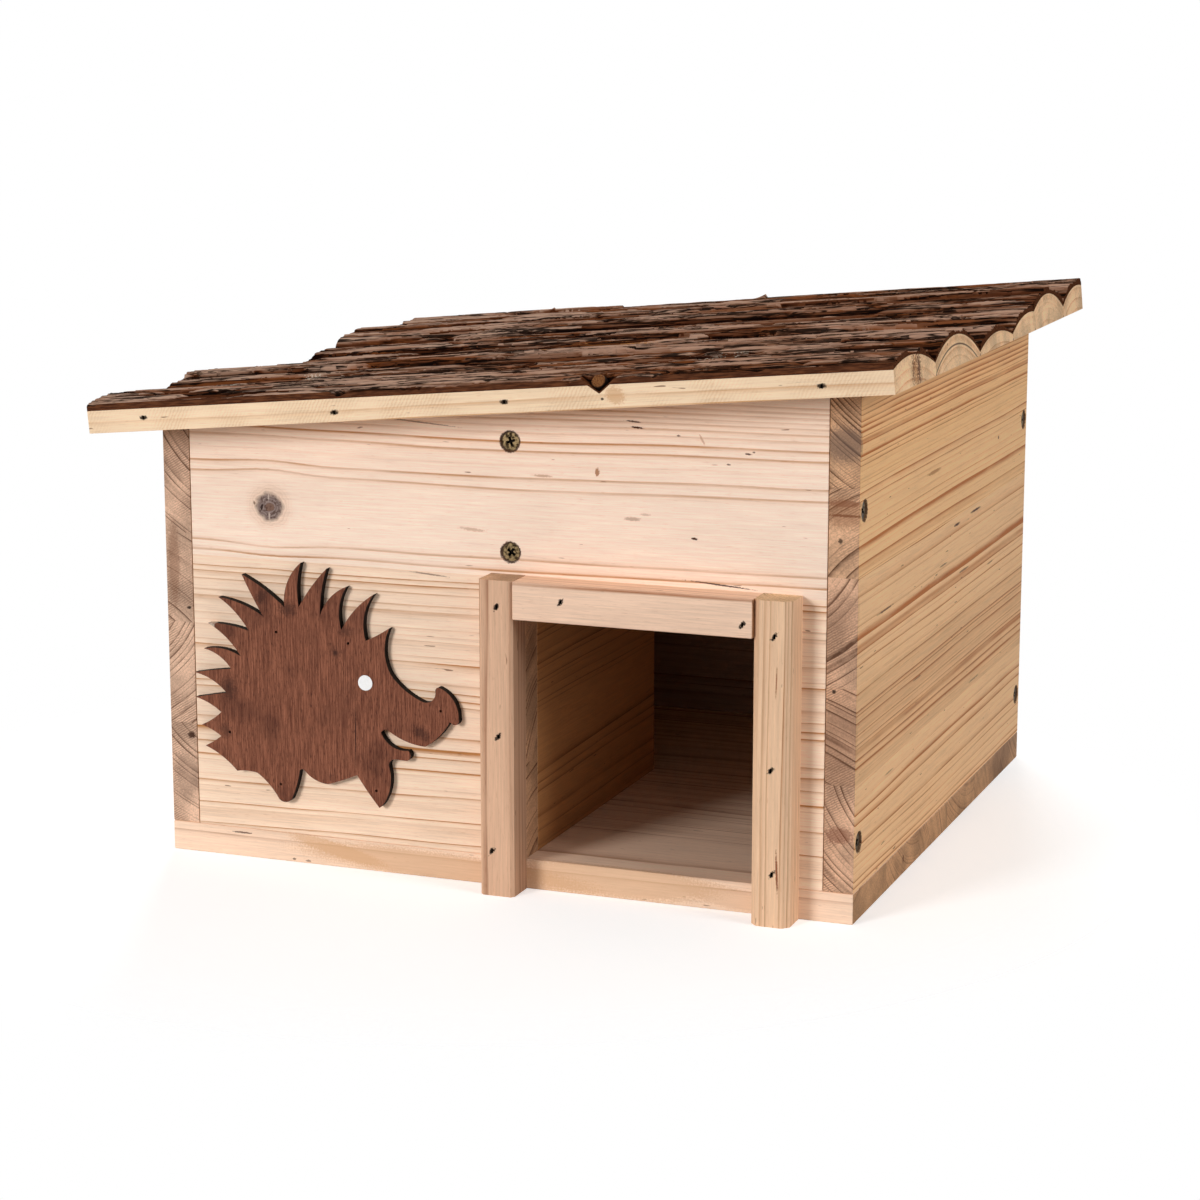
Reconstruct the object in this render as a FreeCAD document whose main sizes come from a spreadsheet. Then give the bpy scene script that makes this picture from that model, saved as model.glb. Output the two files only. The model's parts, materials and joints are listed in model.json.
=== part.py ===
import FreeCAD, Part
import math
import os
import re
import Sketcher

# A hedgehog house: a box of pine boards on a base board, with a framed doorway, a partition
# inside and a hinged lid of bark-faced slabs. Millimetres, +X right, +Y back, +Z up, with the
# origin in the middle of the base's underside. The lid slopes sideways and is high on the right.
SIZES = {
    # The box of boards
    "board_thickness": 15,
    "body_width": 361,
    "body_depth": 338,
    "high_side_height": 253.4,
    "low_side_height": 219.4,
    "edge_round": 0.7,
    # The doorway, its frame and the partition behind it
    "door_left": 14.8,
    "door_width": 120,
    "door_height": 122.7,
    "left_post_width": 17.5,
    "right_post_width": 19,
    "post_depth": 17,
    "left_post_chamfer": 1.6,
    "right_post_chamfer": 3.2,
    "lintel_height": 18.6,
    "partition_length": 168,
    "partition_height": 216,
    # Wood screws with countersunk heads, set a little under the surface
    "screw_radius": 1.8,
    "screw_head_radius": 4.3,
    "screw_sink": 1,
    "screw_length": 40,
    "screw_point": 5,
    "screw_clearance": 0.05,
    "recess_width": 1.3,
    "recess_span": 4.6,
    "recess_depth": 1.6,
    "batten_screw_length": 22,
    "hinge_screw_radius": 1.3,
    "hinge_screw_head_radius": 2.3,
    "hinge_screw_length": 9,
    "front_screw_high": 220.6,
    "front_screw_low": 166.9,
    "side_screw_low": 38.7,
    "right_screw_high": 196.6,
    "left_screw_high": 176,
    # Brads with flat heads, driven just below the surface
    "brad_head_width": 1.2,
    "brad_head_height": 2.1,
    "brad_head_depth": 0.6,
    "brad_width": 0.9,
    "brad_sink": 0.5,
    "brad_length": 25,
    "pin_head_radius": 0.7,
    "pin_radius": 0.45,
    "pin_length": 11,
    # The hedgehog cut-out
    "figure_thickness": 4,
    "eye_radius": 3.85,
    "eye_x": -69,
    "eye_z": 97.2,
    "eye_clearance": 0.05,
    # The lid: slabs sawn from logs, their bark, and the battens that hold them
    "overhang_end": 30,
    "overhang_side": 23.6,
    "roof_gap": 0.3,
    "bark_gap": 0.05,
    "plate_width": 14,
    "plate_step": 1,
    "plate_clear": 2,
    "branch_place": 65.3,
    "branch_half": 12,
    "branch_top": 16,
    "branch_tip": 7,
    "branch_depth": 7,
    "batten_width": 20,
    "batten_height": 16,
    "batten_place": 149,
    "batten_clearance": 4,
    "batten_inset": 1,
    "notch_depth": 18,
    # Butt hinges in the corner between the back panel and the lid's overhang
    "hinge_place": 95,
    "hinge_length": 40,
    "leaf_width": 18,
    "leaf_thickness": 1.2,
    "knuckle_radius": 2.75,
    "knuckle_half": 6.6,
    "hinge_offset": 3.1,
    "hinge_gap": 0.4,
    "hinge_pin_radius": 1.2,
    "hinge_pin_clearance": 0.05,
    "hinge_pin_stand": 0.8,
    "hinge_screw_spread": 13,
    "hinge_screw_place": 10,
}

# Each slab from front to back: its back edge, the place of its log's axis, the log's radius, the
# crown's height over the flat underside and the bark's thickness.
SLABS = {
    "1": (-127, -171, 119, 14.4, 3.6),
    "2": (-42, -88.6, 87.7, 15.1, 4),
    "3": (28, -4.6, 116, 7.9, 4),
    "4": (79, 67, 105.7, 10.7, 4),
    "5": (149, 109.5, 78.3, 16.4, 4.4),
    "6": (199, 185.8, 83, 14.3, 5),
}
SLAB_COLUMNS = ("back", "log_place", "log_radius", "crown", "bark")
for slab_name, slab_sizes in SLABS.items():
    for column, slab_size in zip(SLAB_COLUMNS, slab_sizes):
        SIZES[f"slab_{slab_name}_{column}"] = slab_size

# The bark has flaked into rows of long plates at three levels. The edges between rows are moved by
# a part of a row's width, and each row breaks once along X, away from the lid's ends. Edges, breaks
# and levels are scattered by golden shares that are counted on by slab, by row and by half row.
PLATE_LEVELS = 3
PLATE_SCATTER = 0.7
PLATE_BREAKS = (0.15, 0.85)
GOLDEN_SHARE = (math.sqrt(5) - 1) / 2
EDGE_COUNTS = (7, 3)
BREAK_COUNTS = (5, 2)
LEVEL_COUNTS = (1, 4, 2)

# Brads and pins as (X, Z) on the face they are driven into; on the lid's edge as (along, up).
LEFT_POST_BRADS = [(6.9, 143.5), (7.4, 79.8), (3.7, 22.5)]
RIGHT_POST_BRADS = [(145.5, 139.5), (144.4, 75.7), (145.5, 25.8)]
LINTEL_BRADS = [(39.7, 148.1), (129.9, 144)]
LID_EDGE_BRADS = [(-174, 6.5), (-70.5, 4.5), (17.6, 5.5), (171.5, 5.5)]
FIGURE_PINS = [
    (-117.4, 119.1), (-77.9, 116.4), (-144.7, 65.6), (-28.5, 86.4), (-116.6, 41.2), (-63.8, 42.8),
]

# The places along Y of the screws that hold each slab to a batten, and of the base's screws.
BATTEN_SCREWS = [-139, -84, -7, 54, 114, 159]
SIDE_BASE_SCREWS = [-110, 0, 110]
CROSS_BASE_SCREWS = [-120, -60]
BACK_BASE_SCREWS = [-90, 90]
PARTITION_BASE_SCREWS = [-110, -20]

# The cut-out's outline as (X, Z, bow): each point is joined to the next by an arc that stands
# bow millimetres off the straight line, to the left of the way when bow is positive.
FACE_AND_LEGS = [
    (-55.5, 125.7, -3.0), (-55, 102.3, -1.3), (-38.9, 90.5, -2.8), (-31.2, 96, 0.7), (-29.4, 98.1, 3.1),
    (-19, 83, 1.1), (-21.5, 80, 0), (-23.8, 81.2, 1.3), (-37, 67.7, 1.4), (-56.1, 73.6, -1.3),
    (-60.8, 72.7, -2.9), (-46.3, 64.8, 1.9), (-47.5, 59.6, 0), (-53.2, 59.8, -1.1), (-56.8, 56.2, 1.8),
    (-58.7, 38.6, 0.4), (-62.3, 34.2, 0.3), (-74.2, 49.8, 0.2), (-90.2, 43.6, 1.5), (-103.2, 49.5, -0.8),
    (-106, 49, 0.6), (-110.6, 34.2, 1.7), (-117.7, 33.4, -1.0), (-129.6, 45.8, -0.6), (-141, 45.8, -1.2),
]
# Spines from the tail to the brow: a tip and its bow, then the valley after it and its bow.
SPINES = [
    (-158.6, 57.4, -0.3, -149.6, 63, -0.6),
    (-160.6, 68, -0.6, -149.3, 75.5, -0.9),
    (-163.7, 82.2, 0, -146.1, 85.8, -1.7),
    (-163.7, 94.9, 0.3, -143.1, 98.3, -1.8),
    (-158.2, 107.6, 1.9, -137.5, 105.2, -1.6),
    (-155.5, 120.9, 1.0, -132.8, 118.6, -1.4),
    (-149.3, 134.6, 1.5, -124.6, 126.6, 0.3),
    (-135.9, 147, 1.1, -112.6, 132, 3.1),
    (-103.2, 155, -1.3, -104.7, 132.6, 0.9),
    (-89, 153.1, -1.1, -93, 129.1, 2.4),
    (-78.5, 144.7, -2.4, -81.6, 122.8, 1.8),
    (-63.6, 142, -3.1, -68.4, 118.4, -0.3),
]

# Expressions that several sub-parts share
FRONT_FACE = "-body_depth / 2"
BACK_FACE = "body_depth / 2"
LID_RISE = "(high_side_height - low_side_height) / body_width"
HINGE_AXIS_Y = "(body_depth / 2 + hinge_offset)"
INNER_RIGHT = "(body_width / 2 - board_thickness)"
DOOR_RIGHT = "(door_left + door_width)"
LINTEL_BOTTOM = "(board_thickness + door_height)"
LINTEL_TOP = "(board_thickness + door_height + lintel_height)"

VECTOR = FreeCAD.Vector
X_AXIS = VECTOR(1, 0, 0)
Y_AXIS = VECTOR(0, 1, 0)
Z_AXIS = VECTOR(0, 0, 1)
START, END, CENTRE = 1, 2, 3
ORIGIN = (-1, 1)
HORIZONTAL_AXIS = -1
ROUGH_RADIUS = 60
COUNTERSINK_ANGLE = 90
LEAST_CUT = 1e-3
TINY = 1e-6

doc = FreeCAD.newDocument("HedgehogHouse")
sheet = doc.addObject("Spreadsheet::Sheet", "Sizes")
for row, (alias, value) in enumerate(SIZES.items(), start=1):
    sheet.set(f"A{row}", alias)
    sheet.set(f"B{row}", str(value))
    sheet.setAlias(f"B{row}", alias)
doc.recompute()
sub_parts = []


def size(alias):
    """A size as the sheet holds it."""
    return float(sheet.get(alias))


def on_sheet(text):
    """The expression, with each size in it named as a cell of the sheet."""
    return re.sub(r"[a-z]\w*", lambda word: f"Sizes.{word[0]}" if word[0] in SIZES else word[0], text)


def bind(item, expressions):
    """Bind properties of an object to expressions over the sheet."""
    for path, text in expressions.items():
        item.setExpression(path, on_sheet(text))


def wall_top(x):
    """The height of the walls' sloping top at a place along X."""
    return f"(low_side_height + ({x} + body_width / 2) * {LID_RISE})"


def new_body(label, place=None):
    """An empty body that becomes a sub-part, at a place bound to the sheet."""
    body = doc.addObject("PartDesign::Body", label)
    body.Label = label
    bind(body, place or {})
    sub_parts.append(body)
    return body


def new_lid_body(label):
    """A body in the lid's own frame: X runs up the slope and Z is square to the slabs."""
    body = new_body(label)
    body.Placement = FreeCAD.Placement(VECTOR(), FreeCAD.Rotation(Y_AXIS, -1))
    bind(body, {
        "Placement.Base.z": "(high_side_height + low_side_height) / 2 + roof_gap",
        "Placement.Rotation.Angle": f"-atan({LID_RISE})",
    })
    return body


def sketch_on(body, role, name, offset=None):
    """A sketch on one of the body's own origin planes, moved along its normal by an offset."""
    plane = next(item for item in body.Origin.OriginFeatures if item.Role == role)
    sketch = body.newObject("Sketcher::SketchObject", name)
    sketch.AttachmentSupport = [(plane, "")]
    sketch.MapMode = "FlatFace"
    if offset:
        bind(sketch, {"AttachmentOffset.Base.z": offset})
    return sketch


def datum(sketch, kind, target, value, text):
    """One driving constraint of a sketch, bound to an expression."""
    number = sketch.addConstraint(Sketcher.Constraint(kind, *target, value))
    bind(sketch, {f"Constraints[{number}]": text})


def pin_point(sketch, edge, end, guess, place):
    """Hold a point of a sketch at a place given by two expressions."""
    datum(sketch, "DistanceX", (*ORIGIN, edge, end), guess[0], place[0])
    datum(sketch, "DistanceY", (*ORIGIN, edge, end), guess[1], place[1])


def chain(sketch, first, count, flipped=()):
    """Join edges end to end into a closed outline; the flipped ones are drawn against its way."""
    for step in range(count):
        after = (step + 1) % count
        leaves = START if step in flipped else END
        enters = END if after in flipped else START
        sketch.addConstraint(Sketcher.Constraint("Coincident", first + step, leaves, first + after, enters))


def polygon(sketch, corners):
    """A closed outline of straight lines; each corner is held by its two expressions."""
    first = sketch.GeometryCount
    count = len(corners)
    turns = [2 * math.pi * step / count for step in range(count)]
    rough = [VECTOR(ROUGH_RADIUS * (2 + math.cos(a)), ROUGH_RADIUS * (2 + math.sin(a)), 0) for a in turns]
    for step in range(count):
        sketch.addGeometry(Part.LineSegment(rough[step], rough[(step + 1) % count]), False)
    chain(sketch, first, count)
    for step, place in enumerate(corners):
        pin_point(sketch, first + step, START, rough[step], place)


def rectangle(x_low, x_high, y_low, y_high):
    """The corners of an upright rectangle."""
    return [(x_low, y_low), (x_high, y_low), (x_high, y_high), (x_low, y_high)]


def circle(sketch, place, radius):
    """A circle held by its centre and radius."""
    number = sketch.GeometryCount
    guess = (ROUGH_RADIUS, ROUGH_RADIUS)
    sketch.addGeometry(Part.Circle(VECTOR(*guess, 0), Z_AXIS, 1), False)
    pin_point(sketch, number, CENTRE, guess, place)
    datum(sketch, "Radius", (number,), 1, radius)


def pad(body, sketch, length, backwards=False, both_ways=False):
    """Extrude a sketch along its normal, against it, or by half each way."""
    feature = body.newObject("PartDesign::Pad", f"{sketch.Name}Pad")
    feature.Profile = sketch
    feature.Reversed = backwards
    feature.Midplane = both_ways
    bind(feature, {"Length": length})
    doc.recompute()
    return feature


def cut_check(body, before, name):
    """Stop if a cut took nothing away."""
    doc.recompute()
    if body.Shape.Volume > before - LEAST_CUT:
        raise RuntimeError(f"{body.Label}: {name} cuts nothing")


def pocket(body, sketch, depth=None, backwards=False):
    """Cut a sketch into the body to a depth, or right through both ways."""
    before = body.Shape.Volume
    feature = body.newObject("PartDesign::Pocket", f"{sketch.Name}Pocket")
    feature.Profile = sketch
    feature.Reversed = backwards
    if depth:
        bind(feature, {"Length": depth})
    else:
        feature.Type = "ThroughAll"
        feature.Midplane = True
    cut_check(body, before, sketch.Name)
    return feature


def ease_edges(body, feature):
    """Round every edge of a sawn board a little."""
    rounding = body.newObject("PartDesign::Fillet", "Eased")
    rounding.Base = (feature, ["Edge1"])
    rounding.UseAllEdges = True
    bind(rounding, {"Radius": "edge_round"})
    doc.recompute()
    return rounding


def screw_holes(body, role, places, offset=None, backwards=False, kind="screw", sink="screw_sink"):
    """Countersunk clearance holes, drilled from the plane that they are drawn on."""
    sketch = sketch_on(body, role, "ScrewPlaces", offset)
    for place in places:
        circle(sketch, place, f"{kind}_radius")
    doc.recompute()
    before = body.Shape.Volume
    hole = body.newObject("PartDesign::Hole", "ScrewHoles")
    hole.Profile = sketch
    doc.recompute()
    hole.DepthType = "ThroughAll"
    hole.HoleCutType = "Countersink"
    hole.HoleCutCountersinkAngle = COUNTERSINK_ANGLE
    hole.Reversed = backwards
    bind(hole, {
        "Diameter": f"2 * ({kind}_radius + screw_clearance)",
        "HoleCutDiameter": f"2 * ({kind}_head_radius + {sink} + screw_clearance)",
    })
    cut_check(body, before, "the screw holes")


def brad_pockets(body, places, offset=None):
    """The small upright slots that brads leave in a front face."""
    sketch = sketch_on(body, "XZ_Plane", "BradSlots", offset)
    half_width = "brad_head_width / 2"
    half_height = "brad_head_height / 2"
    for x, z in places:
        polygon(sketch, rectangle(
            f"{x} - {half_width}", f"{x} + {half_width}", f"{z} - {half_height}", f"{z} + {half_height}"
        ))
    pocket(body, sketch, "brad_sink")


def chamfer_front(body, feature, amount):
    """Break the two long upright edges of a post's front face."""
    edges = []
    for number, edge in enumerate(feature.Shape.Edges, start=1):
        box = edge.BoundBox
        upright = box.ZLength > box.XLength + box.YLength
        if upright and abs(box.YMin) < TINY:
            edges.append(f"Edge{number}")
    broken = body.newObject("PartDesign::Chamfer", "FrontEdges")
    broken.Base = (feature, edges)
    bind(broken, {"Size": amount})
    doc.recompute()
    return broken


# The base board carries the box; screws come up through it into the walls.
base = new_body("base_panel")
base_sketch = sketch_on(base, "XY_Plane", "BaseOutline")
polygon(base_sketch, rectangle("-body_width / 2", "body_width / 2", FRONT_FACE, BACK_FACE))
ease_edges(base, pad(base, base_sketch, "board_thickness"))
side_line = "(body_width - board_thickness) / 2"
end_line = "(body_depth - board_thickness) / 2"
partition_line = "door_left - board_thickness / 2"
base_screw_places = (
    [(f"-{side_line}", f"{y}") for y in SIDE_BASE_SCREWS]
    + [(side_line, f"{y}") for y in SIDE_BASE_SCREWS]
    + [(f"{x}", f"-{end_line}") for x in CROSS_BASE_SCREWS]
    + [(f"{x}", end_line) for x in BACK_BASE_SCREWS]
    + [(partition_line, f"{y}") for y in PARTITION_BASE_SCREWS]
)
screw_holes(base, "XY_Plane", base_screw_places, backwards=True)

# The front panel stands between the side panels and has the doorway cut out of it.
front = new_body("front_panel", {"Placement.Base.y": FRONT_FACE})
front_sketch = sketch_on(front, "XZ_Plane", "FrontOutline")
polygon(front_sketch, [
    (f"-{INNER_RIGHT}", "board_thickness"),
    ("door_left", "board_thickness"),
    ("door_left", LINTEL_BOTTOM),
    (DOOR_RIGHT, LINTEL_BOTTOM),
    (DOOR_RIGHT, "board_thickness"),
    (INNER_RIGHT, "board_thickness"),
    (INNER_RIGHT, wall_top(INNER_RIGHT)),
    (f"-{INNER_RIGHT}", wall_top(f"-{INNER_RIGHT}")),
])
ease_edges(front, pad(front, front_sketch, "board_thickness", backwards=True))
screw_holes(front, "XZ_Plane", [(partition_line, "front_screw_high"), (partition_line, "front_screw_low")])

# The back panel is alike, with no doorway and two open notches that take the ends of the battens.
back = new_body("back_panel", {"Placement.Base.y": f"{BACK_FACE} - board_thickness"})
back_sketch = sketch_on(back, "XZ_Plane", "BackOutline")
back_corners = [
    (f"-{INNER_RIGHT}", "board_thickness"),
    (INNER_RIGHT, "board_thickness"),
    (INNER_RIGHT, wall_top(INNER_RIGHT)),
]
for side in ("", "-"):
    notch_half = "(batten_width / 2 + batten_clearance)"
    notch_right = f"({side}batten_place + {notch_half})"
    notch_left = f"({side}batten_place - {notch_half})"
    back_corners += [
        (notch_right, wall_top(notch_right)),
        (notch_right, f"{wall_top(notch_right)} - notch_depth"),
        (notch_left, f"{wall_top(notch_left)} - notch_depth"),
        (notch_left, wall_top(notch_left)),
    ]
back_corners.append((f"-{INNER_RIGHT}", wall_top(f"-{INNER_RIGHT}")))
polygon(back_sketch, back_corners)
ease_edges(back, pad(back, back_sketch, "board_thickness", backwards=True))

# The side panels cover the ends of the front and back panels. Their tops are planed to the slope.
for label, side, outer, inner, high_screw in (
    ("left_side_panel", "-", "-body_width / 2", f"-{INNER_RIGHT}", "left_screw_high"),
    ("right_side_panel", "", "body_width / 2", INNER_RIGHT, "right_screw_high"),
):
    wall = new_body(label, {"Placement.Base.x": outer, "Placement.Base.y": FRONT_FACE})
    wall_sketch = sketch_on(wall, "XZ_Plane", "WallSection")
    into = f"-({side}board_thickness)"
    polygon(wall_sketch, [
        ("0", "board_thickness"),
        (into, "board_thickness"),
        (into, wall_top(inner)),
        ("0", wall_top(outer)),
    ])
    ease_edges(wall, pad(wall, wall_sketch, "body_depth", backwards=True))
    wall_screws = [
        (along, height)
        for along in ("board_thickness / 2", "body_depth - board_thickness / 2")
        for height in ("side_screw_low", high_screw)
    ]
    screw_holes(wall, "YZ_Plane", wall_screws, backwards=(side == "-"))

# The partition makes a passage from the doorway to the sleeping place behind it.
partition = new_body("partition_panel", {"Placement.Base.y": f"{FRONT_FACE} + board_thickness"})
partition_sketch = sketch_on(partition, "XZ_Plane", "PartitionSection")
polygon(partition_sketch, rectangle(
    "door_left - board_thickness", "door_left", "board_thickness", "board_thickness + partition_height"
))
ease_edges(partition, pad(partition, partition_sketch, "partition_length", backwards=True))

# The door frame: two posts that stand on the ground and a lintel between them.
for side, x_low, x_high, brads in (
    ("left", "door_left - left_post_width", "door_left", LEFT_POST_BRADS),
    ("right", DOOR_RIGHT, f"{DOOR_RIGHT} + right_post_width", RIGHT_POST_BRADS),
):
    post = new_body(f"{side}_door_post", {"Placement.Base.y": f"{FRONT_FACE} - post_depth"})
    post_sketch = sketch_on(post, "XZ_Plane", "PostFace")
    polygon(post_sketch, rectangle(x_low, x_high, "0", LINTEL_TOP))
    block = pad(post, post_sketch, "post_depth", backwards=True)
    chamfer_front(post, block, f"{side}_post_chamfer")
    brad_pockets(post, brads)

lintel = new_body("door_lintel", {"Placement.Base.y": f"{FRONT_FACE} - post_depth"})
lintel_sketch = sketch_on(lintel, "XZ_Plane", "LintelFace")
polygon(lintel_sketch, rectangle("door_left", DOOR_RIGHT, LINTEL_BOTTOM, LINTEL_TOP))
ease_edges(lintel, pad(lintel, lintel_sketch, "post_depth", backwards=True))
brad_pockets(lintel, LINTEL_BRADS)


def bowed_edge(start, end, bow):
    """A straight line, or an arc whose middle stands off it by the bow, drawn anticlockwise."""
    if not bow:
        return Part.LineSegment(start, end)
    way = end - start
    left = VECTOR(-way.y, way.x, 0).normalize()
    middle = (start + end) / 2 + left * bow
    if bow > 0:
        return Part.ArcOfCircle(end, middle, start)
    return Part.ArcOfCircle(start, middle, end)


# The hedgehog is cut from thin plywood and pinned to the front panel.
figure = new_body("hedgehog_figure", {"Placement.Base.y": f"{FRONT_FACE} - figure_thickness"})
figure_sketch = sketch_on(figure, "XZ_Plane", "FigureOutline")
outline = list(FACE_AND_LEGS)
for tip_x, tip_z, tip_bow, valley_x, valley_z, valley_bow in SPINES:
    outline += [(tip_x, tip_z, tip_bow), (valley_x, valley_z, valley_bow)]
for (x, z, bow), (next_x, next_z, _) in zip(outline, outline[1:] + outline[:1]):
    figure_sketch.addGeometry(bowed_edge(VECTOR(x, z, 0), VECTOR(next_x, next_z, 0), bow), False)
chain(figure_sketch, 0, len(outline), [step for step, corner in enumerate(outline) if corner[2] > 0])
pad(figure, figure_sketch, "figure_thickness", backwards=True)
eye_hole = sketch_on(figure, "XZ_Plane", "EyeHole")
circle(eye_hole, ("eye_x", "eye_z"), "eye_radius + eye_clearance")
pocket(figure, eye_hole)
pin_holes = sketch_on(figure, "XZ_Plane", "PinMarks")
for x, z in FIGURE_PINS:
    circle(pin_holes, (f"{x}", f"{z}"), "pin_head_radius")
pocket(figure, pin_holes, "brad_sink")

eye = new_body("hedgehog_eye", {"Placement.Base.y": f"{FRONT_FACE} - figure_thickness"})
eye_sketch = sketch_on(eye, "XZ_Plane", "EyeDisc")
circle(eye_sketch, ("eye_x", "eye_z"), "eye_radius")
pad(eye, eye_sketch, "figure_thickness", backwards=True)

# The lid's slabs: flat below, sawn square at the sides, with the round of the log on top.
LID_LENGTH = f"(body_width + 2 * overhang_side) / cos(atan({LID_RISE}))"
LID_FRONT = "-body_depth / 2 - overhang_end"


def log_arc(sketch, front_y, back_y, log_y, log_z, radius):
    """An arc over the top of a log, from its back edge round to its front edge."""
    centre = VECTOR(log_y, log_z, 0)
    back_turn = math.acos((back_y - log_y) / radius)
    front_turn = math.acos((front_y - log_y) / radius)
    number = sketch.GeometryCount
    sketch.addGeometry(Part.ArcOfCircle(Part.Circle(centre, Z_AXIS, radius), back_turn, front_turn), False)
    return number


def sizes_of_slab(name):
    """The sizes of a slab in the order of the columns."""
    return [size(f"slab_{name}_{column}") for column in SLAB_COLUMNS]


def log_centre(name):
    """The place of a log's axis in a section of the lid, as expressions."""
    return f"slab_{name}_log_place", f"slab_{name}_crown - slab_{name}_log_radius"


def roof_slab(name, front_edge, front_y):
    """One slab: flat below, upright at its edges and round on top."""
    back_y, log_y, radius, crown, _ = sizes_of_slab(name)
    log_z = crown - radius
    slab = new_lid_body(f"roof_slab_{name}")
    section = sketch_on(slab, "YZ_Plane", "SlabSection")
    top = log_arc(section, front_y, back_y, log_y, log_z, radius)
    arc = section.Geometry[top]
    front_top, back_top = arc.EndPoint, arc.StartPoint
    front_foot, back_foot = VECTOR(front_y, 0, 0), VECTOR(back_y, 0, 0)
    for start, end in ((front_top, front_foot), (front_foot, back_foot), (back_foot, back_top)):
        section.addGeometry(Part.LineSegment(start, end), False)
    chain(section, 0, 4)
    front_side, underside, back_side = 1, 2, 3
    section.addConstraint(Sketcher.Constraint("Vertical", front_side))
    section.addConstraint(Sketcher.Constraint("Vertical", back_side))
    section.addConstraint(Sketcher.Constraint("PointOnObject", underside, START, HORIZONTAL_AXIS))
    section.addConstraint(Sketcher.Constraint("PointOnObject", underside, END, HORIZONTAL_AXIS))
    datum(section, "DistanceX", (*ORIGIN, underside, START), front_y, front_edge)
    datum(section, "DistanceX", (*ORIGIN, underside, END), back_y, f"slab_{name}_back")
    pin_point(section, top, CENTRE, (log_y, log_z), log_centre(name))
    datum(section, "Radius", (top,), radius, f"slab_{name}_log_radius")
    pad(slab, section, LID_LENGTH, both_ways=True)
    return slab


def ring_section(sketch, name, edges, heights):
    """The section between two arcs about a log's axis, with upright ends. The edges' places along Y
    and the arcs' heights over the wood each come as a number and its expression."""
    _, log_y, radius, crown, _ = sizes_of_slab(name)
    log_z = crown - radius
    (front_y, front_text), (back_y, back_text) = edges
    (low, low_text), (high, high_text) = heights
    inner = log_arc(sketch, front_y, back_y, log_y, log_z, radius + low)
    outer = log_arc(sketch, front_y, back_y, log_y, log_z, radius + high)
    inner_arc, outer_arc = sketch.Geometry[inner], sketch.Geometry[outer]
    front_end = sketch.addGeometry(Part.LineSegment(inner_arc.EndPoint, outer_arc.EndPoint), False)
    back_end = sketch.addGeometry(Part.LineSegment(outer_arc.StartPoint, inner_arc.StartPoint), False)
    for joined in (
        (inner, END, front_end, START),
        (front_end, END, outer, END),
        (outer, START, back_end, START),
        (back_end, END, inner, START),
        (inner, CENTRE, outer, CENTRE),
    ):
        sketch.addConstraint(Sketcher.Constraint("Coincident", *joined))
    sketch.addConstraint(Sketcher.Constraint("Vertical", front_end))
    sketch.addConstraint(Sketcher.Constraint("Vertical", back_end))
    datum(sketch, "DistanceX", (*ORIGIN, front_end, START), front_y, front_text)
    datum(sketch, "DistanceX", (*ORIGIN, back_end, START), back_y, back_text)
    pin_point(sketch, inner, CENTRE, (log_y, log_z), log_centre(name))
    datum(sketch, "Radius", (inner,), radius + low, f"slab_{name}_log_radius + {low_text}")
    datum(sketch, "Radius", (outer,), radius + high, f"slab_{name}_log_radius + {high_text}")


def scattered(numbers, counts):
    """A share between 0 and 1 that jumps about evenly as the numbers go up."""
    return GOLDEN_SHARE * sum(number * count for number, count in zip(numbers, counts)) % 1


def sunk_plates(slab, width):
    """The plates of a slab that lie below the others, as shares of its width and length, with the
    number of steps that each is sunk. The row along the lid's front edge stays whole."""
    rows = round(width / size("plate_width"))
    edges = [0]
    for row in range(1, rows):
        edges.append((row + PLATE_SCATTER * (scattered((slab, row), EDGE_COUNTS) - 0.5)) / rows)
    edges.append(1)
    first_break, last_break = PLATE_BREAKS
    plates = []
    for row, (front, back) in enumerate(zip(edges, edges[1:])):
        split = first_break + (last_break - first_break) * scattered((slab, row), BREAK_COUNTS)
        for half, (left, right) in enumerate(((0, split), (split, 1))):
            steps = int(PLATE_LEVELS * scattered((slab, row, half), LEVEL_COUNTS))
            if steps and (slab, row) != (1, 0):
                plates.append((front, back, left, right, steps))
    return plates


def roof_bark(name, front_edge, front_y):
    """A slab's layer of bark, with its lower plates cut into it."""
    back_y = size(f"slab_{name}_back")
    bark = size(f"slab_{name}_bark")
    back_edge, bark_text = f"slab_{name}_back", f"slab_{name}_bark"
    edges = ((front_y, front_edge), (back_y, back_edge))
    skin = new_lid_body(f"roof_bark_{name}")
    layer = sketch_on(skin, "YZ_Plane", "BarkSection")
    ring_section(layer, name, edges, ((size("bark_gap"), "bark_gap"), (bark, bark_text)))
    pad(skin, layer, LID_LENGTH, both_ways=True)
    width = back_y - front_y
    surface = (bark + size("plate_clear"), f"{bark_text} + plate_clear")
    for front, back, left, right, steps in sunk_plates(int(name), width):
        plate = sketch_on(skin, "YZ_Plane", "SunkPlate", f"{LID_LENGTH} * ({left} - 0.5)")
        edges = [
            (front_y + part * width, f"({front_edge}) + {part} * ({back_edge} - ({front_edge}))")
            for part in (front, back)
        ]
        floor = (bark - steps * size("plate_step"), f"{bark_text} - {steps} * plate_step")
        ring_section(plate, name, edges, (floor, surface))
        pocket(skin, plate, f"{LID_LENGTH} * {right - left}", backwards=True)
    return skin


front_edge = LID_FRONT
front_y = -size("body_depth") / 2 - size("overhang_end")
layers = []
for name in SLABS:
    layers.append((roof_slab(name, front_edge, front_y), roof_bark(name, front_edge, front_y)))
    front_edge = f"slab_{name}_back"
    front_y = size(front_edge)
front_slab, front_bark = layers[0]
LID_FACE = "body_depth / 2 + overhang_end"
brad_pockets(front_slab, LID_EDGE_BRADS, LID_FACE)

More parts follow.
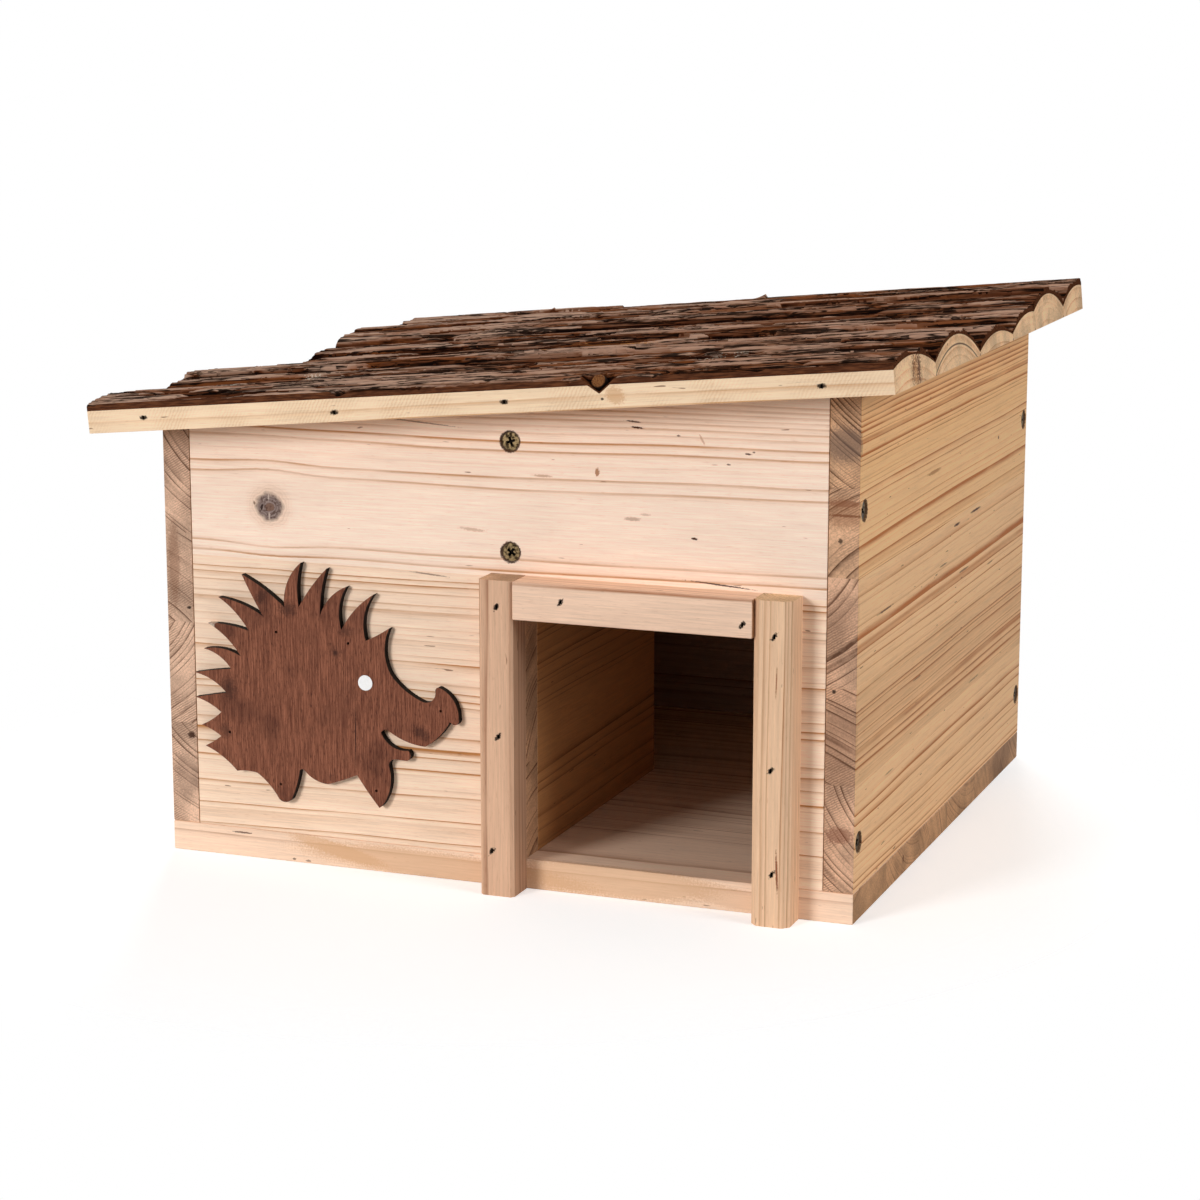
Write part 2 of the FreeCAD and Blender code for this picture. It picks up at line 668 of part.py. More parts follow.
# A branch grew at the front edge and left a small V in the wood and in the bark.
for layer in (front_slab, front_bark):
    branch_notch = sketch_on(layer, "XZ_Plane", "BranchNotch", LID_FACE)
    polygon(branch_notch, [
        ("branch_place - branch_half", "branch_top"),
        ("branch_place", "branch_tip"),
        ("branch_place + branch_half", "branch_top"),
    ])
    pocket(layer, branch_notch, "branch_depth")

# Two battens hold the slabs together. Their back ends lie in the back panel's notches.
for label, side in (("left_roof_batten", "-"), ("right_roof_batten", "")):
    batten = new_lid_body(label)
    batten_sketch = sketch_on(batten, "XY_Plane", "BattenOutline")
    middle = f"{side}batten_place"
    polygon(batten_sketch, rectangle(
        f"{middle} - batten_width / 2",
        f"{middle} + batten_width / 2",
        f"{FRONT_FACE} + board_thickness + batten_clearance",
        f"{BACK_FACE} - batten_inset",
    ))
    ease_edges(batten, pad(batten, batten_sketch, "batten_height", backwards=True))
    batten_spots = [(middle, f"{y}") for y in BATTEN_SCREWS]
    screw_holes(batten, "XY_Plane", batten_spots, offset="-batten_height", backwards=True)


def knuckle(body, start, length):
    """A barrel round the hinge's axis, from a place along the lid."""
    sketch = sketch_on(body, "YZ_Plane", "Knuckle", start)
    circle(sketch, (HINGE_AXIS_Y, "-hinge_offset"), "knuckle_radius")
    pad(body, sketch, length)


def hinge_bore(body):
    """The bore for the pin through a leaf's barrels."""
    sketch = sketch_on(body, "YZ_Plane", "Bore")
    circle(sketch, (HINGE_AXIS_Y, "-hinge_offset"), "hinge_pin_radius + hinge_pin_clearance")
    pocket(body, sketch)


def hinge(name, side):
    """A butt hinge: one leaf on the back panel, one under the lid's overhang, and a pin."""
    middle = f"{side}hinge_place"
    low_end, high_end = f"({middle} - hinge_length / 2)", f"({middle} + hinge_length / 2)"
    low_gap, high_gap = f"({middle} - knuckle_half - hinge_gap)", f"({middle} + knuckle_half + hinge_gap)"
    low_tab, high_tab = f"({middle} - knuckle_half)", f"({middle} + knuckle_half)"
    screw_line = [f"{middle} - hinge_screw_spread", f"{middle} + hinge_screw_spread"]

    wall_leaf = new_lid_body(f"{name}_hinge_wall_leaf")
    axis_z = "-hinge_offset"
    shoulder_z = "-hinge_offset - knuckle_radius - hinge_gap"
    foot_z = "-hinge_offset - leaf_width"
    plate = sketch_on(wall_leaf, "XZ_Plane", "WallPlate", f"-{BACK_FACE}")
    polygon(plate, [
        (low_end, foot_z), (high_end, foot_z), (high_end, axis_z), (high_gap, axis_z),
        (high_gap, shoulder_z), (low_gap, shoulder_z), (low_gap, axis_z), (low_end, axis_z),
    ])
    pad(wall_leaf, plate, "leaf_thickness", backwards=True)
    barrel = "hinge_length / 2 - knuckle_half - hinge_gap"
    knuckle(wall_leaf, low_end, barrel)
    knuckle(wall_leaf, high_gap, barrel)
    hinge_bore(wall_leaf)
    wall_screws = [(x, "-hinge_offset - hinge_screw_place") for x in screw_line]
    screw_holes(
        wall_leaf, "XZ_Plane", wall_screws, f"-({BACK_FACE} + leaf_thickness)", True, "hinge_screw", "0"
    )

    roof_leaf = new_lid_body(f"{name}_hinge_roof_leaf")
    shoulder_y = f"{HINGE_AXIS_Y} + knuckle_radius + hinge_gap"
    far_y = f"{HINGE_AXIS_Y} + leaf_width"
    plate = sketch_on(roof_leaf, "XY_Plane", "RoofPlate")
    polygon(plate, [
        (low_end, shoulder_y), (low_tab, shoulder_y), (low_tab, HINGE_AXIS_Y), (high_tab, HINGE_AXIS_Y),
        (high_tab, shoulder_y), (high_end, shoulder_y), (high_end, far_y), (low_end, far_y),
    ])
    pad(roof_leaf, plate, "leaf_thickness", backwards=True)
    knuckle(roof_leaf, low_tab, "2 * knuckle_half")
    hinge_bore(roof_leaf)
    roof_screws = [(x, f"{HINGE_AXIS_Y} + hinge_screw_place") for x in screw_line]
    screw_holes(roof_leaf, "XY_Plane", roof_screws, "-leaf_thickness", True, "hinge_screw", "0")

    pin = new_lid_body(f"{name}_hinge_pin")
    pin_sketch = sketch_on(pin, "YZ_Plane", "PinSection", f"{low_end} - hinge_pin_stand")
    circle(pin_sketch, (HINGE_AXIS_Y, "-hinge_offset"), "hinge_pin_radius")
    pad(pin, pin_sketch, "hinge_length + 2 * hinge_pin_stand")


hinge("left", "-")
hinge("right", "")


def fused(name, pieces):
    """Join primitives into one solid."""
    joined = doc.addObject("Part::MultiFuse", name)
    joined.Shapes = pieces
    return joined


def primitive(kind, name, expressions):
    """A Part primitive bound to the sheet."""
    item = doc.addObject(f"Part::{kind}", name)
    bind(item, expressions)
    return item


def screw_pattern(name, kind, length):
    """A countersunk screw with its head's top at the origin and its point downwards."""
    head_height = f"({kind}_head_radius - {kind}_radius)"
    head = primitive("Cone", f"{name}Head", {
        "Radius1": f"{kind}_radius",
        "Radius2": f"{kind}_head_radius",
        "Height": head_height,
        "Placement.Base.z": f"-{head_height}",
    })
    shank = primitive("Cylinder", f"{name}Shank", {
        "Radius": f"{kind}_radius",
        "Height": f"{length} - screw_point / 2 - {head_height}",
        "Placement.Base.z": f"screw_point / 2 - {length}",
    })
    point = primitive("Cone", f"{name}Point", {
        "Radius1": f"{kind}_radius / 8",
        "Radius2": f"{kind}_radius",
        "Height": "screw_point / 2",
        "Placement.Base.z": f"-{length}",
    })
    share = f"({kind}_head_radius / screw_head_radius)"
    bars = []
    for bar, along, across in (
        ("Long", "recess_span", "recess_width"),
        ("Cross", "recess_width", "recess_span"),
    ):
        bars.append(primitive("Box", f"{name}{bar}", {
            "Length": f"{along} * {share}",
            "Width": f"{across} * {share}",
            "Height": "2 * recess_depth",
            "Placement.Base.x": f"-{along} * {share} / 2",
            "Placement.Base.y": f"-{across} * {share} / 2",
            "Placement.Base.z": f"-recess_depth * {share}",
        }))
    screw = doc.addObject("Part::Cut", name)
    screw.Base = fused(f"{name}Blank", [head, shank, point])
    screw.Tool = fused(f"{name}Recess", bars)
    return screw


def brad_pattern():
    """A brad with a flat oblong head, its top at the origin."""
    head = primitive("Box", "BradHead", {
        "Length": "brad_head_width",
        "Width": "brad_head_height",
        "Height": "brad_head_depth",
        "Placement.Base.x": "-brad_head_width / 2",
        "Placement.Base.y": "-brad_head_height / 2",
        "Placement.Base.z": "-brad_head_depth",
    })
    shank = primitive("Box", "BradShank", {
        "Length": "brad_width",
        "Width": "brad_width",
        "Height": "brad_length - brad_head_depth",
        "Placement.Base.x": "-brad_width / 2",
        "Placement.Base.y": "-brad_width / 2",
        "Placement.Base.z": "-brad_length",
    })
    return fused("Brad", [head, shank])


def pin_pattern():
    """A fine pin with a round head, its top at the origin."""
    head = primitive("Cylinder", "FinePinHead", {
        "Radius": "pin_head_radius - screw_clearance",
        "Height": "brad_head_depth",
        "Placement.Base.z": "-brad_head_depth",
    })
    shank = primitive("Cylinder", "FinePinShank", {
        "Radius": "pin_radius",
        "Height": "pin_length - brad_head_depth",
        "Placement.Base.z": "-pin_length",
    })
    return fused("FinePin", [head, shank])


def driven(point, way, twist=0):
    """Where a fastener sits: its head at a point, its shank along a way, turned by a twist."""
    turn = FreeCAD.Rotation(-Z_AXIS, way) * FreeCAD.Rotation(Z_AXIS, twist)
    return FreeCAD.Placement(point, turn)


def fastener_group(label, pattern, places):
    """A node of separate, identical fasteners."""
    copies = []
    for place in places:
        copy = pattern.Shape.copy()
        copy.Placement = place
        copies.append(copy)
    group = doc.addObject("Part::Feature", label)
    group.Label = label
    group.Shape = Part.makeCompound(copies)
    sub_parts.append(group)


wood_screw = screw_pattern("WoodScrew", "screw", "screw_length")
batten_screw = screw_pattern("BattenScrew", "screw", "batten_screw_length")
hinge_screw = screw_pattern("HingeScrew", "hinge_screw", "hinge_screw_length")
brad = brad_pattern()
fine_pin = pin_pattern()
doc.recompute()

board = size("board_thickness")
half_width = size("body_width") / 2
half_depth = size("body_depth") / 2
sink = size("screw_sink")
partition_x = size("door_left") - board / 2
SCREW_TWISTS = (18, 57, 33, 74)

front_places = [
    driven(VECTOR(partition_x, sink - half_depth, height), Y_AXIS, twist)
    for height, twist in zip((size("front_screw_high"), size("front_screw_low")), SCREW_TWISTS)
]
fastener_group("front_screws", wood_screw, front_places)

for label, way, high_screw in (
    ("left_side_screws", X_AXIS, "left_screw_high"),
    ("right_side_screws", -X_AXIS, "right_screw_high"),
):
    face = -way.x * (half_width - sink)
    spots = [
        VECTOR(face, along, height)
        for along in (board / 2 - half_depth, half_depth - board / 2)
        for height in (size("side_screw_low"), size(high_screw))
    ]
    side_places = [driven(spot, way, twist) for spot, twist in zip(spots, SCREW_TWISTS)]
    fastener_group(label, wood_screw, side_places)

base_spots = (
    [(board / 2 - half_width, y) for y in SIDE_BASE_SCREWS]
    + [(half_width - board / 2, y) for y in SIDE_BASE_SCREWS]
    + [(x, board / 2 - half_depth) for x in CROSS_BASE_SCREWS]
    + [(x, half_depth - board / 2) for x in BACK_BASE_SCREWS]
    + [(partition_x, y) for y in PARTITION_BASE_SCREWS]
)
fastener_group("base_screws", wood_screw, [driven(VECTOR(x, y, sink), Z_AXIS) for x, y in base_spots])

brad_sink = size("brad_sink")
frame_face = brad_sink - half_depth - size("post_depth")
frame_brads = LEFT_POST_BRADS + RIGHT_POST_BRADS + LINTEL_BRADS
fastener_group("door_frame_brads", brad, [driven(VECTOR(x, frame_face, z), Y_AXIS) for x, z in frame_brads])
figure_face = brad_sink - half_depth - size("figure_thickness")
fastener_group("figure_pins", fine_pin, [driven(VECTOR(x, figure_face, z), Y_AXIS) for x, z in FIGURE_PINS])

lid_frame = front_slab.Placement
lid_face = brad_sink - half_depth - size("overhang_end")
lid_brads = [lid_frame * driven(VECTOR(x, lid_face, z), Y_AXIS) for x, z in LID_EDGE_BRADS]
fastener_group("roof_edge_brads", brad, lid_brads)
batten_face = sink - size("batten_height")
batten_places = [
    lid_frame * driven(VECTOR(side * size("batten_place"), y, batten_face), Z_AXIS)
    for side in (-1, 1)
    for y in BATTEN_SCREWS
]
fastener_group("batten_screws", batten_screw, batten_places)

hinge_columns = [
    side * size("hinge_place") + spread * size("hinge_screw_spread")
    for side in (-1, 1)
    for spread in (-1, 1)
]
leaf_face = size("leaf_thickness")
hinge_reach = size("hinge_offset") + size("hinge_screw_place")
wall_spots = [VECTOR(x, half_depth + leaf_face, -hinge_reach) for x in hinge_columns]
fastener_group("hinge_wall_screws", hinge_screw, [lid_frame * driven(spot, -Y_AXIS) for spot in wall_spots])
roof_spots = [VECTOR(x, half_depth + hinge_reach, -leaf_face) for x in hinge_columns]
fastener_group("hinge_roof_screws", hinge_screw, [lid_frame * driven(spot, Z_AXIS) for spot in roof_spots])

doc.recompute()
for item in doc.Objects:
    if "Invalid" in item.State or "Error" in item.State:
        raise RuntimeError(f"{item.Label} failed: {item.State}")
os.makedirs("parts", exist_ok=True)
for part in sub_parts:
    if part.Shape.isNull() or not part.Shape.isValid():
        raise RuntimeError(f"{part.Label} has no valid shape")
    part.Shape.exportStep(f"parts/{part.Label}.step")
print(f"{len(sub_parts)} sub-parts, {sum(len(part.Shape.Solids) for part in sub_parts)} solids")
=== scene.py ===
# %% [markdown]
# A hedgehog house: a box of pine boards with a framed doorway, a stained cut-out on the front and
# a lid of bark-faced slabs. This lesson dresses the finished solids. The boards keep their solids
# and get wood that runs through them, so that faces show grain lines and sawn ends show arcs. The
# bark is modelled anew, because a smooth layer can't show its ridges and cracks.

# %% Load the solids
import json
import math

import bmesh
import bpy
from mathutils import Euler, Matrix, Vector, noise


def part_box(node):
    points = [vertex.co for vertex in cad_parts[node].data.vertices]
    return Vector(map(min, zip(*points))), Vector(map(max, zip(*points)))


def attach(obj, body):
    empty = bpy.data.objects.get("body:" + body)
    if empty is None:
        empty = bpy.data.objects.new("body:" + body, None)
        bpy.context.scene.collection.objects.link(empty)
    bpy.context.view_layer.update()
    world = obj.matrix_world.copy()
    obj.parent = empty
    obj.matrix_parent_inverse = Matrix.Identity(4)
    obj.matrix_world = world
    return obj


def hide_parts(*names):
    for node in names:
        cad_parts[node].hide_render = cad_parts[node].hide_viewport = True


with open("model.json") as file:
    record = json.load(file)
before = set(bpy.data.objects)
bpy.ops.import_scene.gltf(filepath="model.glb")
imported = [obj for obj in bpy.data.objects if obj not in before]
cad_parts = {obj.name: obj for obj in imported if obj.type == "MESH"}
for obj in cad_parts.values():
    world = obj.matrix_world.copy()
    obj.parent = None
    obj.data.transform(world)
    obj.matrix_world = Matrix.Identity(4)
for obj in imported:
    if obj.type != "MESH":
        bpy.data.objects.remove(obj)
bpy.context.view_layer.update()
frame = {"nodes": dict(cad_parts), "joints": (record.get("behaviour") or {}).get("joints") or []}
nodes = frame["nodes"]
MM = 0.001

# %% [markdown]
# The camera stands to the right of the front and looks a little down, with a long lens. A long
# lens keeps the upright edges nearly parallel, as in a catalogue picture.

# %% Camera
VIEW_YAW, VIEW_PITCH = math.radians(20.94), math.radians(11.49)
VIEW_BACK, VIEW_ASIDE, VIEW_UP = 1551.5 * MM, -10.7 * MM, 426.4 * MM

lens = bpy.data.cameras.new("view")
lens.lens, lens.sensor_width = 88.5, 36
camera = bpy.data.objects.new("view", lens)
ahead = Vector((-math.sin(VIEW_YAW), math.cos(VIEW_YAW), 0))
aside = Vector((math.cos(VIEW_YAW), math.sin(VIEW_YAW), 0))
camera.location = -ahead * VIEW_BACK + aside * VIEW_ASIDE + Vector((0, 0, VIEW_UP))
camera.rotation_euler = Euler((math.pi / 2 - VIEW_PITCH, 0, VIEW_YAW))
bpy.context.scene.collection.objects.link(camera)
bpy.context.scene.camera = camera
bpy.context.scene.view_settings.view_transform = "Standard"
print("the camera stands at", [round(v, 3) for v in camera.location])

# %% [markdown]
# Node trees are easier to read when one short call makes a node, sets its options and links its
# inputs. The next helpers do only that, and every material below is written with them.

# %% Helpers for node trees
def add(tree, kind, inputs=None, **options):
    """One shader node; inputs are sockets to link or plain values."""
    made = tree.nodes.new(f"ShaderNode{kind}")
    for option, value in options.items():
        setattr(made, option, value)
    for socket, value in (inputs or {}).items():
        if isinstance(value, bpy.types.NodeSocket):
            tree.links.new(value, made.inputs[socket])
        else:
            made.inputs[socket].default_value = value
    return made


def calc(tree, operation, *values):
    """The result of a Math node."""
    return add(tree, "Math", dict(enumerate(values)), operation=operation).outputs[0]


def ease(tree, value, low, high, to_low=0.0, to_high=1.0):
    """A value taken smoothly from one range to another."""
    places = {0: value, 1: low, 2: high, 3: to_low, 4: to_high}
    return add(tree, "MapRange", places, interpolation_type="SMOOTHSTEP").outputs[0]


def blend(tree, share, first, second, mode="MIX"):
    """Two colours mixed by a share."""
    made = add(tree, "Mix", {0: share, 6: first, 7: second}, data_type="RGBA", blend_type=mode)
    return made.outputs[2]


def vector(tree, x, y, z):
    """Three values as one vector."""
    return add(tree, "CombineXYZ", {0: x, 1: y, 2: z}).outputs[0]


def cloud(tree, place, scale=1.0, detail=2.0, roughness=0.5):
    """A noise texture's value."""
    settings = {"Vector": place, "Scale": scale, "Detail": detail, "Roughness": roughness}
    return add(tree, "TexNoise", settings).outputs[0]


def parts_of(tree, place):
    """The three values of a vector."""
    return add(tree, "SeparateXYZ", {0: place}).outputs


def apart(tree, first, second=(0, 0, 0)):
    """How far two places lie apart."""
    return add(tree, "VectorMath", {0: first, 1: second}, operation="DISTANCE").outputs["Value"]


def ramp_of(tree, value, stops, stepped=False):
    """A colour ramp over a value, given by places and colours; returns its colour and its alpha."""
    made = add(tree, "ValToRGB", {0: value})
    ramp = made.color_ramp
    if stepped:
        ramp.interpolation = "CONSTANT"
    while len(ramp.elements) > len(stops):
        ramp.elements.remove(ramp.elements[-1])
    while len(ramp.elements) < len(stops):
        ramp.elements.new(1.0)
    for stop, (position, colour) in zip(ramp.elements, stops):
        stop.position, stop.color = position, colour
    return made.outputs


def tint(red, green, blue):
    """A colour as it is read from a screen, 0 to 255, turned into Blender's linear values."""
    return (*(((v / 255 + 0.055) / 1.055) ** 2.4 for v in (red, green, blue)), 1.0)


WHITE = tint(255, 255, 255)
print("node helpers are ready; white is", WHITE)

# %% [markdown]
# An effect that several finishes share becomes a node group with named sockets, so that each
# finish can place it with values of its own.

# %% Helpers for groups and materials
def new_group(name, inputs, outputs):
    """An empty node group with named sockets, and the sockets of its two ends."""
    group = bpy.data.node_groups.new(name, "ShaderNodeTree")
    for label, kind, value in inputs:
        socket = group.interface.new_socket(label, in_out="INPUT", socket_type=f"NodeSocket{kind}")
        socket.default_value = value
    for label, kind in outputs:
        group.interface.new_socket(label, in_out="OUTPUT", socket_type=f"NodeSocket{kind}")
    ends = group.nodes.new("NodeGroupInput"), group.nodes.new("NodeGroupOutput")
    return group, ends[0].outputs, ends[1].inputs


def place_group(tree, group, inputs):
    """A group placed in a material with its own values; returns its outputs."""
    return add(tree, "Group", inputs, node_tree=group).outputs


def new_material(name, gloss=0.1):
    """A material, its node tree and its Principled shader; bare wood has little gloss."""
    material = bpy.data.materials.new(name)
    material.use_nodes = True
    tree = material.node_tree
    shader = tree.nodes["Principled BSDF"]
    shader.inputs["Specular IOR Level"].default_value = gloss
    return material, tree, shader


def dress(node, material):
    """Give a carried-over solid its finish."""
    slots = nodes[node].data.materials
    slots.clear()
    slots.append(material)


def coat(tree, shader, colour, roughness, height, strength, depth):
    """Give a shader its colour, its roughness and fine relief of some strength and depth."""
    relief = add(tree, "Bump", {"Strength": strength, "Distance": depth, "Height": height})
    tree.links.new(relief.outputs[0], shader.inputs["Normal"])
    tree.links.new(colour, shader.inputs["Base Color"])
    if isinstance(roughness, bpy.types.NodeSocket):
        tree.links.new(roughness, shader.inputs["Roughness"])
    else:
        shader.inputs["Roughness"].default_value = roughness


print("group helpers are ready")

# %% [markdown]
# The floor is a pale sheet under a white surround. The camera sees white, while the light that
# falls on the wood stays at a plain level: one soft lamp from the front left, two weaker ones from
# the right and from behind above, and an even surround.

# %% Floor and light
world = bpy.data.worlds.new("surround")
bpy.context.scene.world = world
world.use_nodes = True
sky = world.node_tree
sky.nodes.clear()
paths = add(sky, "LightPath").outputs
seen = calc(sky, "MAXIMUM", paths["Is Camera Ray"], paths["Is Glossy Ray"])
seen = calc(sky, "MAXIMUM", seen, paths["Is Transmission Ray"])
SURROUND_LEVEL = 0.25
soft = add(sky, "Background", {0: WHITE, 1: SURROUND_LEVEL}).outputs[0]
white = add(sky, "Background", {0: WHITE, 1: 1.0}).outputs[0]
mixed = add(sky, "MixShader", {0: seen, 1: soft, 2: white}).outputs[0]
add(sky, "OutputWorld", {0: mixed})

FLOOR_HALF = 6.0
sheet = bmesh.new()
bmesh.ops.create_grid(sheet, x_segments=1, y_segments=1, size=FLOOR_HALF)
floor_mesh = bpy.data.meshes.new("floor")
sheet.to_mesh(floor_mesh)
sheet.free()
floor = bpy.data.objects.new("floor", floor_mesh)
bpy.context.scene.collection.objects.link(floor)

FLOOR_GREY, FLOOR_LIFT = 0.86, 0.455
FLOOR_MIDDLE, FLOOR_FADE = (-0.04, -0.07, 0), (0.25, 0.38)
pale, tree, shader = new_material("pale_floor")
shader.inputs["Base Color"].default_value = (FLOOR_GREY, FLOOR_GREY, FLOOR_GREY, 1)
shader.inputs["Roughness"].default_value = 0.9
level = calc(tree, "MULTIPLY", add(tree, "LightPath").outputs["Is Camera Ray"], FLOOR_LIFT)
lift = add(tree, "Emission", {0: WHITE, 1: level}).outputs[0]
both = add(tree, "AddShader", {0: shader.outputs[0], 1: lift}).outputs[0]
clear = add(tree, "BsdfTransparent").outputs[0]
far = apart(tree, add(tree, "TexCoord").outputs["Object"], FLOOR_MIDDLE)
faded = add(tree, "MixShader", {0: ease(tree, far, *FLOOR_FADE), 1: both, 2: clear}).outputs[0]
tree.links.new(faded, tree.nodes["Material Output"].inputs[0])
floor_mesh.materials.append(pale)
LAMP_AIM = Vector((0, 0, 0.12))


def soft_lamp(name, place, size, power):
    """A square area lamp that points at the house."""
    lamp = bpy.data.lights.new(name, "AREA")
    lamp.size, lamp.energy = size, power
    body = bpy.data.objects.new(name, lamp)
    body.location = place
    body.rotation_euler = (LAMP_AIM - Vector(place)).to_track_quat("-Z", "Y").to_euler()
    bpy.context.scene.collection.objects.link(body)


soft_lamp("front_left_lamp", (-1.3, -2.85, 0.98), 0.9, 55)
soft_lamp("right_lamp", (1.75, -0.55, 1.0), 0.7, 12.8)
soft_lamp("top_lamp", (-0.7, 2.0, 1.9), 0.9, 32)
print("floor, surround and", len(bpy.data.lights), "lamps")

# %% [markdown]
# Wood is a bundle of growth rings round a pith. A board is cut out of them, so the same rings make
# long lines on its faces and arcs on its ends. The group below measures the distance from a pith
# line, bends it a little along the grain, and darkens the end of each ring, where late wood is.
# An image would show the same picture on each face; rings in space turn every corner correctly.

# %% Growth rings
rings, given, made = new_group(
    "Growth rings",
    [("Along", "Float", 0.0), ("Across", "Float", 0.0), ("Depth", "Float", 0.0),
     ("Ring width", "Float", 5.0), ("Seed", "Float", 0.0), ("Push", "Float", 0.0),
     ("Waviness", "Float", 4.0), ("Sparse", "Float", 0.0)],
    [("Late wood", "Float"), ("Fibre", "Float"), ("Clouds", "Float"), ("Fleck", "Float"),
     ("Pores", "Float"), ("Reach", "Float"), ("Patchy", "Float")],
)
far = calc(rings, "MULTIPLY_ADD", given["Seed"], 91.7, given["Along"])


def stretched(shrink):
    """A place in the wood, drawn out along the grain."""
    return vector(rings, calc(rings, "DIVIDE", far, shrink), given["Across"], given["Depth"])


slow = add(rings, "TexNoise", {"Vector": stretched(5.0), "Scale": 0.018, "Detail": 2.0})
bend = add(rings, "SeparateColor", {0: slow.outputs["Color"]}).outputs
sway = [calc(rings, "MULTIPLY", calc(rings, "SUBTRACT", bend[i], 0.5), given["Waviness"]) for i in (0, 1)]
across = calc(rings, "ADD", given["Across"], sway[0])
depth = calc(rings, "ADD", given["Depth"], sway[1])
reach = calc(rings, "SUBTRACT", apart(rings, vector(rings, 0.0, across, depth)), given["Push"])
years = calc(rings, "DIVIDE", reach, given["Ring width"])
season = calc(rings, "MULTIPLY_ADD", given["Seed"], 7.3, calc(rings, "MULTIPLY", years, 0.55))
season = add(rings, "TexNoise", {"W": season, "Scale": 1.0, "Detail": 1.0}, noise_dimensions="1D")
years = calc(rings, "MULTIPLY_ADD", season.outputs[0], 2.2, years)
through = calc(rings, "FRACT", years)
number = calc(rings, "ADD", calc(rings, "FLOOR", years), given["Seed"])
strength = add(rings, "TexWhiteNoise", {"W": number}, noise_dimensions="1D").outputs[0]
even = calc(rings, "MULTIPLY_ADD", strength, 0.75, 0.4)
uneven = calc(rings, "SUBTRACT", ease(rings, strength, 0.3, 0.85, 0.0, 1.3), even)
strength = calc(rings, "MULTIPLY_ADD", uneven, given["Sparse"], even)
patchy = ease(rings, cloud(rings, stretched(9.0), 0.12, 2.0), 0.3, 0.62, 0.55, 1.1)
fall = calc(rings, "MULTIPLY", calc(rings, "SUBTRACT", 1.0, through), 14.0)
shade = calc(rings, "MULTIPLY", calc(rings, "POWER", through, 3.0), 0.45)
late = calc(rings, "MULTIPLY_ADD", calc(rings, "POWER", through, 6.0), 0.65, shade)
late = calc(rings, "MULTIPLY", calc(rings, "MINIMUM", late, fall), patchy)
rings.links.new(calc(rings, "MULTIPLY", late, strength), made["Late wood"])
rings.links.new(reach, made["Reach"])
rings.links.new(patchy, made["Patchy"])
rings.links.new(cloud(rings, stretched(30.0), 1.1, 4.0, 0.7), made["Fibre"])
rings.links.new(cloud(rings, stretched(4.5), 0.045, 3.0), made["Clouds"])
rings.links.new(ease(rings, cloud(rings, stretched(7.0), 0.62, 1.0), 0.76, 0.8), made["Fleck"])
rings.links.new(ease(rings, cloud(rings, stretched(11.0), 2.1, 1.0), 0.6, 0.78), made["Pores"])
print("group", rings.name, "with", len(rings.nodes), "nodes")

# %% [markdown]
# Bare pine takes its colour from those masks. Early wood is pale, late wood is a thin brown line,
# and fibres vary the tone along the grain. A sawn end shows the open tubes, so it is darker,
# greyer and speckled. One group does this for all boards, with four colours for each.

# %% Bare pine
pine, given, made = new_group(
    "Bare pine",
    [("Late wood", "Float", 0.0), ("Fibre", "Float", 0.5), ("Clouds", "Float", 0.5),
     ("Fleck", "Float", 0.0), ("Pores", "Float", 0.0), ("Tone", "Float", 0.5), ("End", "Float", 0.0),
     ("Early colour", "Color", WHITE), ("Late colour", "Color", WHITE), ("End colour", "Color", WHITE),
     ("End line colour", "Color", WHITE)],
    [("Colour", "Color"), ("Roughness", "Float"), ("Height", "Float")],
)
FLECK_COLOUR = tint(112, 68, 40)
lines = calc(pine, "MULTIPLY_ADD", given["Pores"], 0.2, given["Late wood"])
face = blend(pine, calc(pine, "MINIMUM", lines, 1.0), given["Early colour"], given["Late colour"])
level = calc(pine, "MULTIPLY_ADD", given["Fibre"], 0.62, 0.47)
level = calc(pine, "MULTIPLY_ADD", given["Clouds"], 0.2, level)
level = calc(pine, "MULTIPLY_ADD", given["Tone"], 0.3, level)
face = blend(pine, 1.0, face, vector(pine, level, level, level), "MULTIPLY")
face = blend(pine, calc(pine, "MULTIPLY", given["Fleck"], 0.75), face, FLECK_COLOUR)
sawn = calc(pine, "MINIMUM", given["Late wood"], 1.0)
ends = blend(pine, sawn, given["End colour"], given["End line colour"])
speck = ease(pine, given["Fibre"], 0.3, 0.7, 0.78, 1.16)
speck = calc(pine, "MULTIPLY", speck, ease(pine, given["Clouds"], 0.34, 0.66, 0.74, 1.16))
ends = blend(pine, 1.0, ends, vector(pine, speck, speck, speck), "MULTIPLY")
pine.links.new(blend(pine, given["End"], face, ends), made["Colour"])
pine.links.new(calc(pine, "MULTIPLY_ADD", given["Fibre"], 0.2, 0.52), made["Roughness"])
pine.links.new(calc(pine, "MULTIPLY_ADD", given["Late wood"], 0.12, given["Fibre"]), made["Height"])


def pine_wood(tree, grain, lines, end, colours, tone=0.5):
    """Bare pine over some grain: its lines, how far it is an end, its four colours and its tone."""
    early, late, end_early, end_late = (tint(*colour) for colour in colours)
    return place_group(tree, pine, {
        "Late wood": lines, "Fibre": grain["Fibre"], "Clouds": grain["Clouds"], "Fleck": grain["Fleck"],
        "Pores": grain["Pores"], "Tone": tone, "End": end, "Early colour": early, "Late colour": late,
        "End colour": end_early, "End line colour": end_late,
    })


print("group", pine.name, "with", len(pine.nodes), "nodes")

# %% [markdown]
# Each board is glued from a few strips, and each strip comes from its own place in its own tree.
# A stepped colour ramp holds one stop for each strip: where its pith lies across the board and
# through it, how wide its rings are, and how dark it is. The ramp's colours run from 0 to 1, so
# the places are scaled to millimetres after it.

# %% Glued strips
PITH_REACH = 400.0
RING_REACH = 10.0


